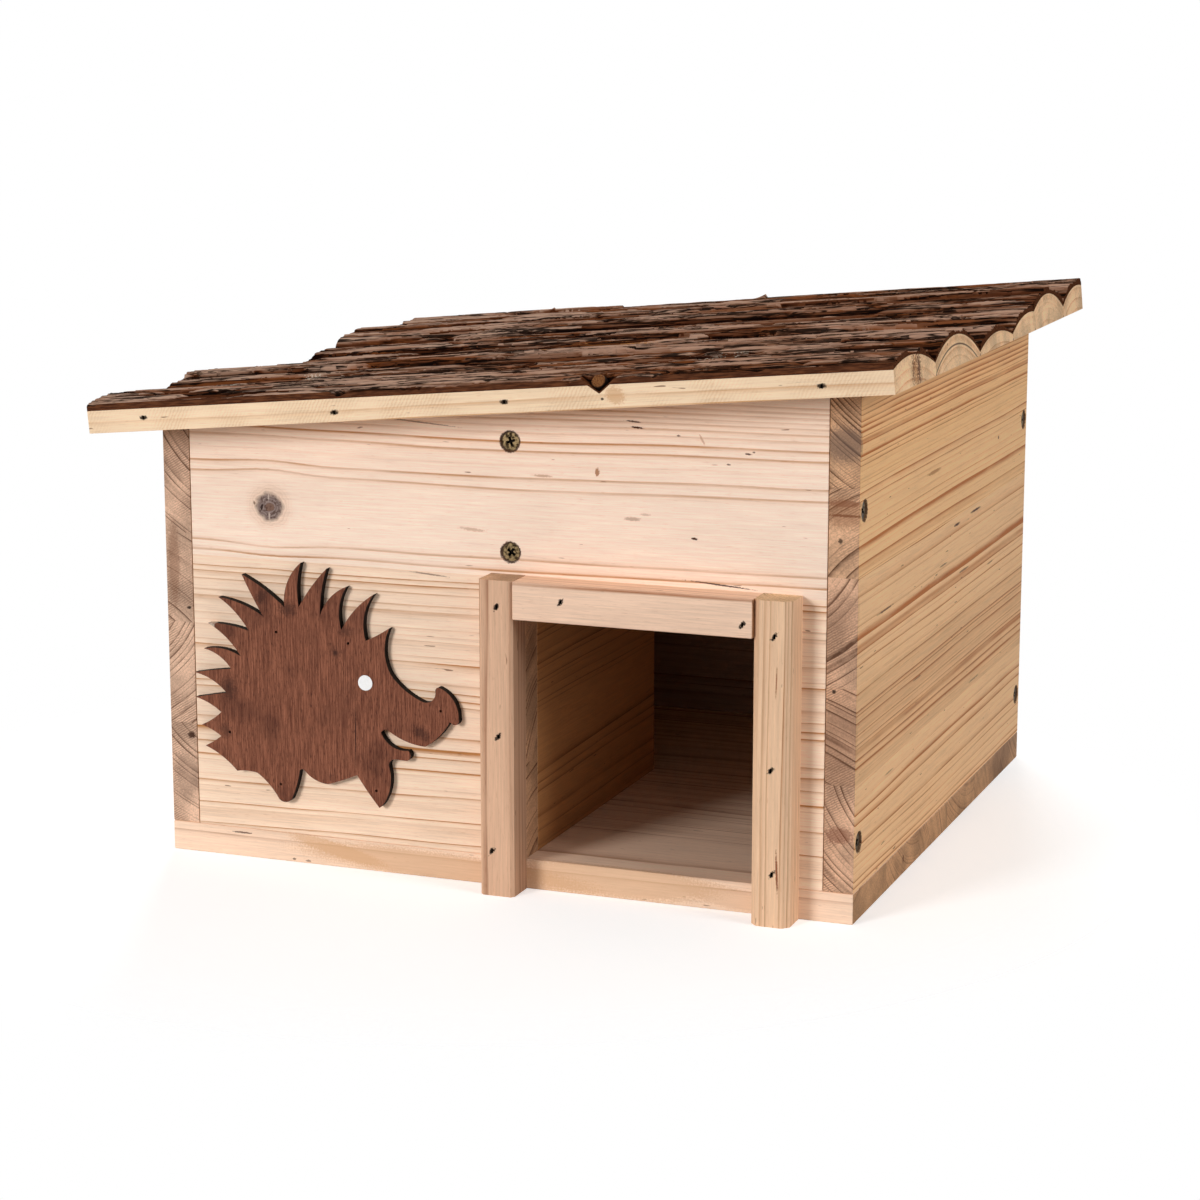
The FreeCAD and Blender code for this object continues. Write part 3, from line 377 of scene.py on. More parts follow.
def strip_values(tree, across, height, strips):
    """The pith's place across and through, the ring width and the tone of the strip at a point."""
    stops = []
    for start, pith_across, pith_depth, ring, tone in strips:
        pith = (0.5 + pith_across / PITH_REACH, 0.5 + pith_depth / PITH_REACH)
        stops.append((start / height, (*pith, ring / RING_REACH, tone)))
    ramp = ramp_of(tree, calc(tree, "DIVIDE", across, height), stops, stepped=True)
    parts = add(tree, "SeparateColor", {0: ramp[0]}).outputs
    pith = [calc(tree, "MULTIPLY", calc(tree, "SUBTRACT", parts[i], 0.5), PITH_REACH) for i in (0, 1)]
    return *pith, calc(tree, "MULTIPLY", parts[2], RING_REACH), ramp[1]


print("a strip's pith may lie up to", PITH_REACH / 2, "mm away")

# %% [markdown]
# A knot is the foot of a branch. The rings swerve round it, its own rings are tight and dark, and
# a stained halo lies about it. The group gives the swerve as a push on the board's rings, a mask
# that calms the rings close by, two masks for the halo and the knot, and the knot's colour.

# %% Knot
knot, given, made = new_group(
    "Knot",
    [("Along", "Float", 0.0), ("Across", "Float", 0.0), ("Depth", "Float", 0.0), ("Radius", "Float", 7.0)],
    [("Push", "Float"), ("Halo", "Float"), ("Calm", "Float"), ("Core", "Float"), ("Colour", "Color")],
)
spot = vector(knot, given["Along"], given["Across"], given["Depth"])
wobble = calc(knot, "MULTIPLY", calc(knot, "SUBTRACT", cloud(knot, spot, 0.3, 3.0), 0.5), 3.4)
flat = vector(knot, calc(knot, "MULTIPLY", given["Along"], 0.95), given["Across"], 0.0)
share = calc(knot, "DIVIDE", calc(knot, "ADD", apart(knot, flat), wobble), given["Radius"])
bell = calc(knot, "EXPONENT", calc(knot, "MULTIPLY", calc(knot, "MULTIPLY", share, share), -0.12))
knot.links.new(calc(knot, "MULTIPLY", bell, calc(knot, "MULTIPLY", given["Radius"], 0.8)), made["Push"])
knot.links.new(ease(knot, share, 1.4, 2.4), made["Calm"])
knot.links.new(ease(knot, share, 1.16, 0.8), made["Core"])
bands = calc(knot, "POWER", calc(knot, "FRACT", calc(knot, "MULTIPLY", share, 4.6)), 3.0)
halo = calc(knot, "MULTIPLY", ease(knot, share, 2.1, 1.0), calc(knot, "MULTIPLY_ADD", bands, 0.7, 0.6))
knot.links.new(halo, made["Halo"])
inside = blend(knot, bands, tint(124, 104, 98), tint(164, 146, 138))
inside = blend(knot, ease(knot, share, 0.66, 1.0, 0.0, 0.8), inside, tint(166, 144, 130))
inside = blend(knot, ease(knot, share, 0.4, 0.26), inside, tint(128, 98, 84))
mottle = ease(knot, cloud(knot, spot, 0.7, 2.0), 0.52, 0.62, 0.0, 0.7)
inside = blend(knot, mottle, inside, tint(84, 62, 54))
knot.links.new(inside, made["Colour"])
print("group", knot.name, "with", len(knot.nodes), "nodes")

# %% [markdown]
# Real boards carry small accidents: pitch pockets, pits, torn fibre round a nail. Each is one soft
# spot in space. A Mapping node moves, turns and shrinks it, and the distance from its middle makes
# the mask, so one helper can set any of them. The nails tell by themselves where they are.

# %% Marks on the wood
def mark(tree, colour, place, size, tilt, stain, share=1.0, ragged=1.1, inner=0.5):
    """A stain of some half sizes, turned about the way it is looked at; places and sizes in mm."""
    spots = add(tree, "TexCoord").outputs["Object"]
    shrunk = add(tree, "Mapping", {
        "Vector": spots, "Location": [v * MM for v in place], "Rotation": tilt,
        "Scale": [v * MM for v in size],
    }, vector_type="TEXTURE")
    crumbs = calc(tree, "SUBTRACT", cloud(tree, spots, 1100.0, 2.0), 0.5)
    far = calc(tree, "MULTIPLY_ADD", crumbs, ragged, apart(tree, shrunk.outputs[0]))
    return blend(tree, ease(tree, far, 1.05, inner, 0.0, share), colour, tint(*stain))


def solids_of(node):
    """The middles of the separate solids that share a node, in mm."""
    shape = bmesh.new()
    shape.from_mesh(nodes[node].data)
    bmesh.ops.remove_doubles(shape, verts=shape.verts[:], dist=MM / 1000)
    waiting, middles = set(shape.verts), []
    while waiting:
        reached, together = [waiting.pop()], []
        while reached:
            point = reached.pop()
            together.append(point.co / MM)
            near = {edge.other_vert(point) for edge in point.link_edges} & waiting
            waiting -= near
            reached.extend(near)
        middles.append(tuple((min(line) + max(line)) / 2 for line in zip(*together)))
    shape.free()
    return sorted(middles)


LEVEL = (0, 0, 0)
TORN = (22, 14, 10)
TORN_TILT = (0, math.radians(35), 0)


def torn_holes(nail_node, board):
    """Marks of torn fibre where a node's nails go into the front of a board."""
    low, high = (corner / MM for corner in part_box(board))
    inside = [p for p in solids_of(nail_node) if all(low[i] < p[i] < high[i] for i in (0, 2))]
    return [((x, low[1], z), (1.2, 2.5, 2.7), TORN_TILT, TORN, 0.95, 1.9) for x, _, z in inside]


RIM_STAIN_AND_SHADE, RIM_REACH, RIM_EDGE = (54, 32, 18), 5.5, 0.9


def shaded_screw_rims(screw_node, axis, face):
    """Dark rims of the countersinks in a face, given by its axis and its place in mm: crushed fibre and a
    painted shade of the recess.
    """
    size = [RIM_REACH] * 3
    size[axis] = 4
    rims = []
    for middle in solids_of(screw_node):
        place = list(middle)
        place[axis] = face
        rims.append((place, size, LEVEL, RIM_STAIN_AND_SHADE, 0.92, 0.3, RIM_EDGE))
    return rims


print("the door frame has", len(solids_of("door_frame_brads")), "brads")

# %% [markdown]
# Now one function can finish any board. It needs the way the grain runs, the strips, and four
# colours. A board with a knot passes its rings round it. Sawn faces and ends keep the marks of the
# blade, a fine slanting hatch.

# %% Board finish
INSIDE_SHADE_TINT = tint(172, 156, 144)
HALO_TAN = tint(204, 158, 126)
FACE_PITCH, END_PITCH = 1.5, 1.3


def grain_places(tree, node, axes):
    """Places along, across and through a board in mm, and how far its surface is a sawn end."""
    low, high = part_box(node)
    spots = add(tree, "TexCoord").outputs
    xyz = parts_of(tree, spots["Object"])
    facing = parts_of(tree, spots["Normal"])
    order = ["XYZ".index(letter) for letter in axes]
    starts = (0.0, low[order[1]], (low[order[2]] + high[order[2]]) / 2)
    places = [
        calc(tree, "MULTIPLY_ADD", xyz[axis], 1 / MM, -start / MM) for axis, start in zip(order, starts)
    ]
    end = ease(tree, calc(tree, "ABSOLUTE", facing[order[0]]), 0.55, 0.85)
    return places, end, (high[order[1]] - low[order[1]]) / MM


def saw_hatch(tree, along, across, pitch):
    """Slanting marks of a saw blade, from 0 to 1, fading in and out."""
    spot = vector(tree, along, across, 0.0)
    slant = calc(tree, "MULTIPLY_ADD", across, -0.6, along)
    slant = calc(tree, "MULTIPLY_ADD", cloud(tree, spot, 0.4, 2.0), pitch, slant)
    wave = calc(tree, "SINE", calc(tree, "MULTIPLY", slant, 2 * math.pi / pitch))
    patch = ease(tree, cloud(tree, spot, 0.03, 1.0), 0.4, 0.62)
    return calc(tree, "MULTIPLY", calc(tree, "MULTIPLY_ADD", wave, 0.5, 0.5), patch)


def drawn_rings(tree, reach, circles):
    """Late wood of rings that are given one by one, by radius in mm and strength."""
    total = 0.0
    for radius, strength in circles:
        off = calc(tree, "SUBTRACT", reach, radius)
        flank = ease(tree, off, -3.4, -0.2, 0.0, 0.3)
        line = calc(tree, "ADD", flank, ease(tree, off, -1.2, -0.2, 0.0, 0.7))
        line = calc(tree, "MULTIPLY", line, ease(tree, off, 0.55, 0.05, 0.0, strength))
        total = calc(tree, "ADD", line, total)
    return total


def strip_tints(tree, across, height, strips, tints):
    """The colour that the strip at a point is multiplied by."""
    stops = [(strip[0] / height, tint(*shade)) for strip, shade in zip(strips, tints)]
    return ramp_of(tree, calc(tree, "DIVIDE", across, height), stops, stepped=True)[0]


def board_finish(
    node, axes, strips, seed, colours, knot_at=None, hatch=0.0, inside=None, marks=(), sparse=0.0,
    lean=0.0, waviness=4.0, drawn=None, tints=None, bold=1.0, end_hatch=0.0,
):
    """Bare wood for one board. Inside is the arrow of its inner face, if it has one: faces turned that way
    get a painted shade, and a shorter arrow darkens them less; lean is how fast the pith climbs across the
    board; drawn gives rings one by one above some place across; bold makes the lines broader; hatch and
    end_hatch are the strength of the blade's marks on the whole board and on its ends."""
    material, tree, shader = new_material(f"{node}_wood")
    (along, across, depth), end, height = grain_places(tree, node, axes)
    pith_across, pith_depth, ring, tone = strip_values(tree, across, height, strips)
    pith_across = calc(tree, "MULTIPLY_ADD", along, lean, pith_across)
    places = {
        "Along": along,
        "Across": calc(tree, "SUBTRACT", across, pith_across),
        "Waviness": waviness,
        "Depth": calc(tree, "SUBTRACT", depth, pith_depth),
        "Ring width": ring,
        "Seed": calc(tree, "MULTIPLY_ADD", tone, 37.0, seed),
        "Sparse": sparse,
    }
    if knot_at:
        branch = place_group(tree, knot, {
            "Along": calc(tree, "SUBTRACT", along, knot_at[0]),
            "Across": calc(tree, "SUBTRACT", across, knot_at[1]),
            "Depth": depth,
            "Radius": knot_at[2],
        })
        places["Push"] = branch["Push"]
    grain = place_group(tree, rings, places)
    lines = calc(tree, "MULTIPLY", grain["Late wood"], bold)
    if drawn:
        start, circles = drawn
        shown = calc(tree, "MULTIPLY", drawn_rings(tree, grain["Reach"], circles), grain["Patchy"])
        above = calc(tree, "GREATER_THAN", across, start)
        change = calc(tree, "MULTIPLY", above, calc(tree, "SUBTRACT", shown, lines))
        lines = calc(tree, "ADD", lines, change)
    if knot_at:
        lines = calc(tree, "MULTIPLY", lines, branch["Calm"])
    wood = pine_wood(tree, grain, lines, end, colours, tone)
    _, late, _, end_late = (tint(*each) for each in colours)
    colour, relief = wood["Colour"], wood["Height"]
    if tints:
        colour = blend(tree, 1.0, colour, strip_tints(tree, across, height, strips, tints), "MULTIPLY")
    if knot_at:
        colour = blend(tree, calc(tree, "MULTIPLY", branch["Halo"], 0.42), colour, HALO_TAN)
        colour = blend(tree, branch["Core"], colour, branch["Colour"])
    if hatch:
        sawn = calc(tree, "MULTIPLY", saw_hatch(tree, along, across, FACE_PITCH), hatch)
        colour = blend(tree, calc(tree, "MULTIPLY", sawn, 0.3), colour, late)
        relief = calc(tree, "SUBTRACT", relief, sawn)
    if end_hatch:
        sawn = calc(tree, "MULTIPLY", saw_hatch(tree, across, depth, END_PITCH), end)
        colour = blend(tree, calc(tree, "MULTIPLY", sawn, end_hatch), colour, end_late)
    for each in marks:
        colour = mark(tree, colour, *each)
    # Painted shade: faces turned along the inside arrow are darkened, because the inside of the house and
    # the doorway's side lie in shade.
    if inside:
        facing = add(tree, "TexCoord").outputs["Normal"]
        turned = add(tree, "VectorMath", {0: facing, 1: inside}, operation="DOT_PRODUCT").outputs["Value"]
        inside_shade = blend(tree, 1.0, colour, INSIDE_SHADE_TINT, "MULTIPLY")
        colour = blend(tree, ease(tree, turned, 0.5, 0.8), colour, inside_shade)
    coat(tree, shader, colour, wood["Roughness"], relief, 0.4, 0.35 * MM)
    return material


print("board finish is ready")

# %% [markdown]
# The front and the back are pale fir with wide, quiet rings. Each strip below is given by where it
# starts, where its pith lies across and through the board, and its ring width, all in millimetres,
# and last by its tone. Across is measured from the board's lower edge and through from its middle.

# %% Front and back panels
FIR = ((255, 229, 211), (188, 130, 80), (190, 150, 122), (104, 70, 50))
FRONT_Y = -169.0
FALLING = (0, math.radians(4), 0)
PITCH, TAN, GREY_BROWN = (74, 40, 26), (176, 122, 84), (146, 100, 68)
FRONT_MARKS = [
    ((x, FRONT_Y, z), (length, 4, height), tilt, stain, share)
    for x, z, length, height, tilt, stain, share in (
        (70, 233.4, 5, 0.5, FALLING, PITCH, 0.9), (72, 230.6, 4, 0.6, FALLING, PITCH, 1.0),
        (-39, 227.5, 22, 0.45, FALLING, PITCH, 0.6), (51.8, 208.3, 1.4, 2.4, LEVEL, TAN, 0.9),
        (69.6, 187, 5, 1.2, LEVEL, GREY_BROWN, 0.5), (76, 189.5, 3, 0.8, LEVEL, GREY_BROWN, 0.35),
        (100.6, 179.6, 2.2, 0.7, FALLING, PITCH, 1.0), (126.6, 221, 2.0, 0.6, FALLING, PITCH, 0.9),
        (129.2, 222, 0.9, 0.5, LEVEL, PITCH, 0.8), (92.4, 227.8, 1.2, 0.5, FALLING, PITCH, 0.8),
        (117, 215.6, 1.3, 0.5, LEVEL, PITCH, 0.8), (104, 226.5, 0.7, 3.4, (0, -0.5, 0), TAN, 0.5),
        (-12.5, 176.8, 8, 1.0, FALLING, TAN, 0.45), (24, 205, 6, 0.8, LEVEL, TAN, 0.6),
        (114.3, 158.4, 20, 0.5, FALLING, (66, 50, 44), 0.9), (-35.5, 153.3, 12, 0.5, FALLING, PITCH, 0.6),
    )
]
KNOT_X, KNOT_UP, KNOT_RADIUS = -121.6, 166.3, 7.0
KNOT_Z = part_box("front_panel")[0][2] / MM + KNOT_UP
CHECK, SLIT = (208, 188, 174), (46, 28, 24)
FRONT_MARKS += [
    ((KNOT_X + x, FRONT_Y, KNOT_Z + z), (breadth, 4, height), (0, tilt, 0), stain, share, 0.8)
    for x, z, breadth, height, tilt, stain, share in (
        (-0.4, 4.9, 0.5, 2.1, 0, CHECK, 0.8), (-0.2, -4.6, 0.6, 2.3, 0, CHECK, 0.8),
        (-4.2, -0.3, 0.9, 2.0, 0.3, SLIT, 0.9), (-8.4, 1.5, 0.7, 1.3, -0.3, (112, 84, 66), 0.8),
    )
]
FRONT_MARKS += shaded_screw_rims("front_screws", 1, FRONT_Y)
FRONT_TOP_STRIP = 139.5
FRONT_RINGS = [
    (18, 0.6), (23.3, 0.8), (29.5, 0.12), (35.8, 0.7), (40.3, 0.85), (44.6, 0.4), (48, 0.5), (51, 0.55),
    (53.5, 0.5), (56, 0.6), (58.5, 0.5), (61, 0.5),
]
FRONT_TINTS = ((255, 250, 238), (255, 250, 239), (255, 254, 250))
dress("front_panel", board_finish(
    "front_panel", "XZY",
    [(0, -40, 30, 4.5, 0.45), (48, 20, 55, 4.2, 0.5), (FRONT_TOP_STRIP, KNOT_UP, -7.5, 5.6, 0.6)],
    3.0, FIR, knot_at=(KNOT_X, KNOT_UP, KNOT_RADIUS), marks=FRONT_MARKS, sparse=0.4,
    lean=0.01, waviness=9.0, drawn=(FRONT_TOP_STRIP, FRONT_RINGS), tints=FRONT_TINTS, bold=1.35,
))
dress("back_panel", board_finish(
    "back_panel", "XZY",
    [(0, -30, -40, 4.0, 0.4), (62, 100, -24, 5.0, 0.55), (140, 230, 40, 4.5, 0.5)],
    11.0, FIR, inside=(0, -1, 0), sparse=1.0,
))
print("front and back panels are fir")

# %% [markdown]
# The side panels are a yellower pine with denser lines. Their front ends show sawn end grain, and
# there each strip's rings lean another way. The base and the partition are cut from like boards.

# %% Side panels, base and partition
PINE = ((255, 212, 165), (184, 112, 60), (228, 188, 160), (110, 78, 60))
SIDE_X, BOARD = 180.5, 15.0
SIDE_MARKS = [
    ((SIDE_X, y, z), (4, length, height), LEVEL, stain, share)
    for y, z, length, height, stain, share in (
        (14, 161.3, 7, 0.9, PITCH, 1.0), (54, 162.6, 13, 0.8, PITCH, 1.0),
        (102, 194.6, 2.0, 1.1, PITCH, 0.9), (-122, 142.6, 16, 0.6, PITCH, 0.9),
        (-12, 144.7, 9, 0.6, PITCH, 0.7), (31.5, 134.5, 12, 0.7, PITCH, 0.7),
        (-35, 196, 15, 1.2, (156, 98, 48), 0.7), (90, 128, 8, 0.6, PITCH, 0.6),
        (-60, 96, 10, 0.6, PITCH, 0.6), (60, 70, 14, 0.6, PITCH, 0.55), (-110, 60, 9, 0.6, PITCH, 0.5),
    )
]


def end_marks(middle, marks):
    """Marks on the front end of a side panel, each given from the middle of its thickness."""
    return [
        ((middle + x, FRONT_Y, z), (breadth, 4, height), LEVEL, stain, share)
        for x, z, breadth, height, stain, share in marks
    ]


SIDE_MARKS += end_marks(SIDE_X - BOARD / 2, (
    (0, 200.6, 11, 2.0, (136, 86, 64), 0.65), (0.5, 195, 11, 0.8, (116, 66, 46), 0.85),
    (-1.5, 183, 1.4, 1.4, TORN, 0.8), (-3.5, 112, 1.2, 1.2, TORN, 0.9), (0, 43, 9, 5, (120, 66, 46), 0.6),
    (0, 228, 13, 10, (112, 92, 82), 0.6), (0, 196, 12, 9, (150, 98, 64), 0.45),
    (0, 150, 12, 14, (140, 104, 84), 0.25), (0, 90, 12, 20, (144, 106, 84), 0.25),
))
SIDE_MARKS += shaded_screw_rims("right_side_screws", 0, SIDE_X)
dress("right_side_panel", board_finish(
    "right_side_panel", "YZX",
    [(0, 80, 70, 2.8, 0.55), (52, -60, -60, 2.8, 0.36), (98, 180, -50, 3.4, 0.52),
     (150, 110, 45, 3.2, 0.62), (192, 330, 90, 2.1, 0.52)],
    21.0, PINE, inside=(-1, 0, 0), marks=SIDE_MARKS, sparse=0.6, waviness=4.0, bold=1.75, end_hatch=0.55,
    tints=((253, 247, 240), (244, 234, 224), (253, 246, 238), (252, 243, 228), (251, 241, 222)),
))
LEFT_SIDE_MARKS = shaded_screw_rims("left_side_screws", 0, -SIDE_X)
LEFT_SIDE_MARKS += end_marks(BOARD / 2 - SIDE_X, (
    (4.4, 61, 2.6, 2.2, (66, 38, 26), 0.95), (5, 127, 1.6, 0.9, TORN, 0.9),
    (-3, 150, 4, 26, (128, 84, 58), 0.5), (1, 40, 9, 16, (122, 98, 84), 0.4),
))
dress("left_side_panel", board_finish(
    "left_side_panel", "YZX",
    [(0, 90, 40, 3.0, 0.5), (52, 150, -70, 2.6, 0.42), (104, 40, -50, 3.2, 0.55), (150, 240, 60, 3.6, 0.5)],
    33.0, PINE, inside=(1, 0, 0), marks=LEFT_SIDE_MARKS, sparse=0.6, waviness=4.0, bold=1.45,
    end_hatch=0.55,
))
BASE_PINE = ((250, 217, 190), (172, 116, 78), (200, 154, 114), (112, 72, 46))
BASE_TAN = (222, 175, 132)
BASE_MARKS = [
    ((x, FRONT_Y, z), (length, 5, height), tilt, stain, share, ragged, 0.7)
    for x, z, length, height, tilt, stain, share, ragged in (
        (-30, 6, 88, 8, (0, 0.03, 0), BASE_TAN, 0.6, 0.8),
        (-88, 9, 30, 4, (0, 0.2, 0), BASE_TAN, 0.6, 0.8), (60, 9, 60, 10, LEVEL, BASE_TAN, 0.6, 0.8),
        (118, 7, 26, 6, (0, 0.12, 0), (232, 188, 150), 0.5, 0.8),
        (-112, 1.6, 1.2, 0.6, LEVEL, PITCH, 0.7, 1.2), (-104, 1.4, 1.6, 0.6, LEVEL, PITCH, 0.6, 1.2),
        (-141, 12.5, 6, 0.5, LEVEL, PITCH, 0.8, 1.2),
    )
]
BASE_MARKS += [
    ((SIDE_X, -79.6, 7.8), (4, 1.5, 2.4), LEVEL, (92, 46, 24), 0.9, 0.8),
    ((SIDE_X, 128, 7), (4, 34, 14), LEVEL, (104, 72, 52), 0.5, 0.6),
]
dress("base_panel", board_finish(
    "base_panel", "XYZ",
    [(0, 60, -160, 9.0, 0.55), (58, 120, 50, 3.0, 0.4), (118, 60, -50, 4.0, 0.5), (176, 230, 70, 3.0, 0.36),
     (236, 200, -40, 3.6, 0.5), (292, 380, 60, 3.2, 0.34)],
    45.0, BASE_PINE, marks=BASE_MARKS, waviness=8.0,
))
# The partition's colours are darker than the other pine: a painted shade for the inside of the house.
SHADED_INNER_PINE = ((188, 134, 86), (108, 62, 30), (218, 174, 134), (134, 98, 68))
dress("partition_panel", board_finish(
    "partition_panel", "YZX",
    [(0, 60, -60, 4.0, 0.5), (70, 150, 60, 3.2, 0.42), (140, 260, -50, 4.0, 0.5)],
    57.0, SHADED_INNER_PINE,
))
print("side panels, base and partition are pine")

# %% [markdown]
# The door frame is made of planed strips. Grain runs along each strip, so it stands upright in the
# posts and lies flat in the lintel. The battens under the lid are sawn from the same stock.

# %% Door frame and battens
LEFT_POST = ((222, 180, 149), (142, 88, 58), (216, 178, 144), (160, 118, 88))
RIGHT_POST = ((239, 199, 163), (170, 112, 70), (226, 192, 152), (160, 118, 82))
LINTEL = ((244, 208, 181), (176, 120, 86), (200, 156, 120), (130, 88, 60))
BATTEN = ((220, 180, 132), (150, 98, 56), (196, 154, 110), (116, 78, 50))
POST_X, POST_Y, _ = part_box("right_door_post")[0] / MM
RESIN = {"right_door_post": [
    ((POST_X + 12, POST_Y, 118), (0.4, 3, 9), (0, 0.03, 0), (150, 84, 50), 0.85, 0.8),
    ((POST_X + 13.2, POST_Y, 27), (0.7, 3, 12), (0, -0.04, 0), (138, 74, 42), 0.9, 0.8),
]}
# The left post's side in the doorway gets a painted shade.
SHADED_REVEAL = {"left_door_post": (0.65, 0, 0)}
for node, axes, strip, seed, colours in (
    ("left_door_post", "ZXY", (0, -12, 34, 3.4, 0.5), 61.0, LEFT_POST),
    ("right_door_post", "ZXY", (0, 30, 22, 2.2, 0.5), 67.0, RIGHT_POST),
    ("door_lintel", "XZY", (0, 34, 40, 4.4, 0.5), 71.0, LINTEL),
):
    spots = torn_holes("door_frame_brads", node) + RESIN.get(node, [])
    dress(node, board_finish(node, axes, [strip], seed, colours, marks=spots, inside=SHADED_REVEAL.get(node)))
for node, seed in (("left_roof_batten", 73.0), ("right_roof_batten", 79.0)):
    dress(node, board_finish(node, "YXZ", [(0, 40, 30, 3.2, 0.5)], seed, BATTEN, hatch=0.4))
print("door frame and battens are dressed")

# %% [markdown]
# A slab is the outside of a log, so its rings follow the round of its top. The lid slopes, and its
# slabs are measured along the slope: a Mapping node turns the place in the frame into a place in
# the lid. The first slab's front is a sawn face with blade marks.

# %% Roof slabs
lid_axis = frame["joints"][0]["axis"]
LID_SLOPE = math.atan2(-lid_axis[2], -lid_axis[0])
LID_RISE = 236.7
LID_HALF = 205.0
SLAB_ROWS = {
    1: {"front": -199, "back": -127, "log": -171, "radius": 119, "crown": 14.4, "bark": 3.6},
    2: {"front": -127, "back": -42, "log": -88.6, "radius": 87.7, "crown": 15.1, "bark": 4},
    3: {"front": -42, "back": 28, "log": -4.6, "radius": 116, "crown": 7.9, "bark": 4},
    4: {"front": 28, "back": 79, "log": 67, "radius": 105.7, "crown": 10.7, "bark": 4},
    5: {"front": 79, "back": 149, "log": 109.5, "radius": 78.3, "crown": 16.4, "bark": 4.4},
    6: {"front": 149, "back": 199, "log": 185.8, "radius": 83, "crown": 14.3, "bark": 5},
}
SLAB_FRONT = SLAB_ROWS[1]["front"]
SLAB_RING, SLAB_PITCH = 5.5, 1.9
SLAB_SEED, SLAB_SEED_STEP, BARK_SEED_STEP = 83.0, 5, 17.0
SLAB_COLOURS = ((255, 224, 188), (206, 150, 100), (255, 211, 164), (214, 154, 106))
BARK_BROWN = (122, 74, 40)
lid = Matrix.Translation((0, 0, LID_RISE)) @ Matrix.Rotation(-LID_SLOPE, 4, "Y")
SLAB_MARKS = {
    1: [((73, SLAB_FRONT, 6), (6, 3, 5), (0, 0.5, 0), (206, 148, 92), 0.5),
        ((66.5, SLAB_FRONT, 4.6), (1.0, 2, 0.7), LEVEL, TORN, 0.9),
        ((LID_HALF, -160, 6), (3, 6.5, 13), LEVEL, (176, 118, 66), 0.8, 4.5),
        ((LID_HALF, -157, 7), (3, 3.4, 11), (0.15, 0, 0), (92, 52, 30), 0.9, 5.0),
        ((LID_HALF, -166, 8), (3, 2.2, 8), (-0.15, 0, 0), BARK_BROWN, 0.9, 5.0)],
    2: [((LID_HALF, -103, 12), (2, 0.8, 0.8), LEVEL, TORN, 0.9)],
}
SHAKES = {2: 4.6}
SEAM_BROWN, SHAKE_BROWN = tint(46, 28, 18), tint(104, 78, 56)


def lid_places(tree):
    """Places in the lid's own frame, in mm."""
    spots = add(tree, "TexCoord").outputs
    turned = add(tree, "Mapping", {
        "Vector": spots["Object"],
        "Location": (LID_RISE * math.sin(-LID_SLOPE), 0, -LID_RISE * math.cos(LID_SLOPE)),
        "Rotation": (0, LID_SLOPE, 0),
        "Scale": (1 / MM, 1 / MM, 1 / MM),
    })
    return parts_of(tree, turned.outputs[0]), spots["Normal"]


def slab_finish(row, seed):
    """Sawn log wood with its pith under the slab."""
    material, tree, shader = new_material(f"roof_slab_{row}_wood")
    values = SLAB_ROWS[row]
    place, facing = lid_places(tree)
    turned = [calc(tree, "ABSOLUTE", part) for part in parts_of(tree, facing)[:2]]
    end = ease(tree, turned[0], 0.55, 0.85)
    across = calc(tree, "SUBTRACT", place[1], values["log"])
    depth = calc(tree, "SUBTRACT", place[2], values["crown"] - values["radius"])
    grain = place_group(tree, rings, {
        "Along": place[0], "Across": across, "Depth": depth, "Ring width": SLAB_RING, "Seed": seed,
        "Waviness": 5.0,
    })
    wood = pine_wood(tree, grain, grain["Late wood"], end, SLAB_COLOURS)
    blade = saw_hatch(tree, place[0], place[2], SLAB_PITCH)
    sawn = calc(tree, "MULTIPLY", blade, ease(tree, turned[1], 0.6, 0.9))
    colour = blend(tree, calc(tree, "MULTIPLY", sawn, 0.26), wood["Colour"], tint(*SLAB_COLOURS[1]))
    under = ease(tree, place[2], 1.5, 0.5)
    for side in ("front",) * (row > 1) + ("back",) * (row < len(SLAB_ROWS)):
        off = calc(tree, "ABSOLUTE", calc(tree, "SUBTRACT", place[1], values[side]))
        colour = blend(tree, calc(tree, "MULTIPLY", ease(tree, off, 0.9, 0.2), under), colour, SEAM_BROWN)
    if row in SHAKES:
        reach = apart(tree, vector(tree, 0.0, across, depth))
        off = calc(tree, "ABSOLUTE", calc(tree, "SUBTRACT", reach, values["radius"] - SHAKES[row]))
        colour = blend(tree, calc(tree, "MULTIPLY", ease(tree, off, 0.6, 0.2), end), colour, SHAKE_BROWN)
    for place_in_lid, *rest in SLAB_MARKS.get(row, ()):
        colour = mark(tree, colour, lid @ Vector(place_in_lid), *rest)
    for x, _, z in solids_of("roof_edge_brads") if row == 1 else ():
        level = (0, -LID_SLOPE, 0)
        colour = mark(tree, colour, (x, SLAB_FRONT, z), (2.7, 2.5, 1.4), level, TORN, 0.95)
    relief = calc(tree, "SUBTRACT", wood["Height"], sawn)
    coat(tree, shader, colour, wood["Roughness"], relief, 0.4, 0.35 * MM)
    return material


for row in SLAB_ROWS:
    dress(f"roof_slab_{row}", slab_finish(row, SLAB_SEED + SLAB_SEED_STEP * row))
print(len(SLAB_ROWS), "slabs are dressed, the lid slopes by", round(math.degrees(LID_SLOPE), 2), "degrees")

# %% [markdown]
# Bark splits into long plates with dark cracks between them. The solids have the main plates: rows
# along each slab at three levels, scattered by golden shares. The same rule gives them here, and
# their edges are then frayed, and finer strips, cracks and fibres are laid over them.

# %% Bark plates
PLATE_WIDTH, PLATE_STEP, PLATE_LEVELS, PLATE_SCATTER = 14, 1.0, 3, 0.7
PLATE_BREAKS = (0.15, 0.85)
GOLDEN_SHARE = (math.sqrt(5) - 1) / 2
EDGE_COUNTS, BREAK_COUNTS, LEVEL_COUNTS = (7, 3), (5, 2), (1, 4, 2)


def scattered(numbers, counts):
    """A share between 0 and 1 that jumps about evenly as the numbers go up."""
    return GOLDEN_SHARE * sum(number * count for number, count in zip(numbers, counts)) % 1


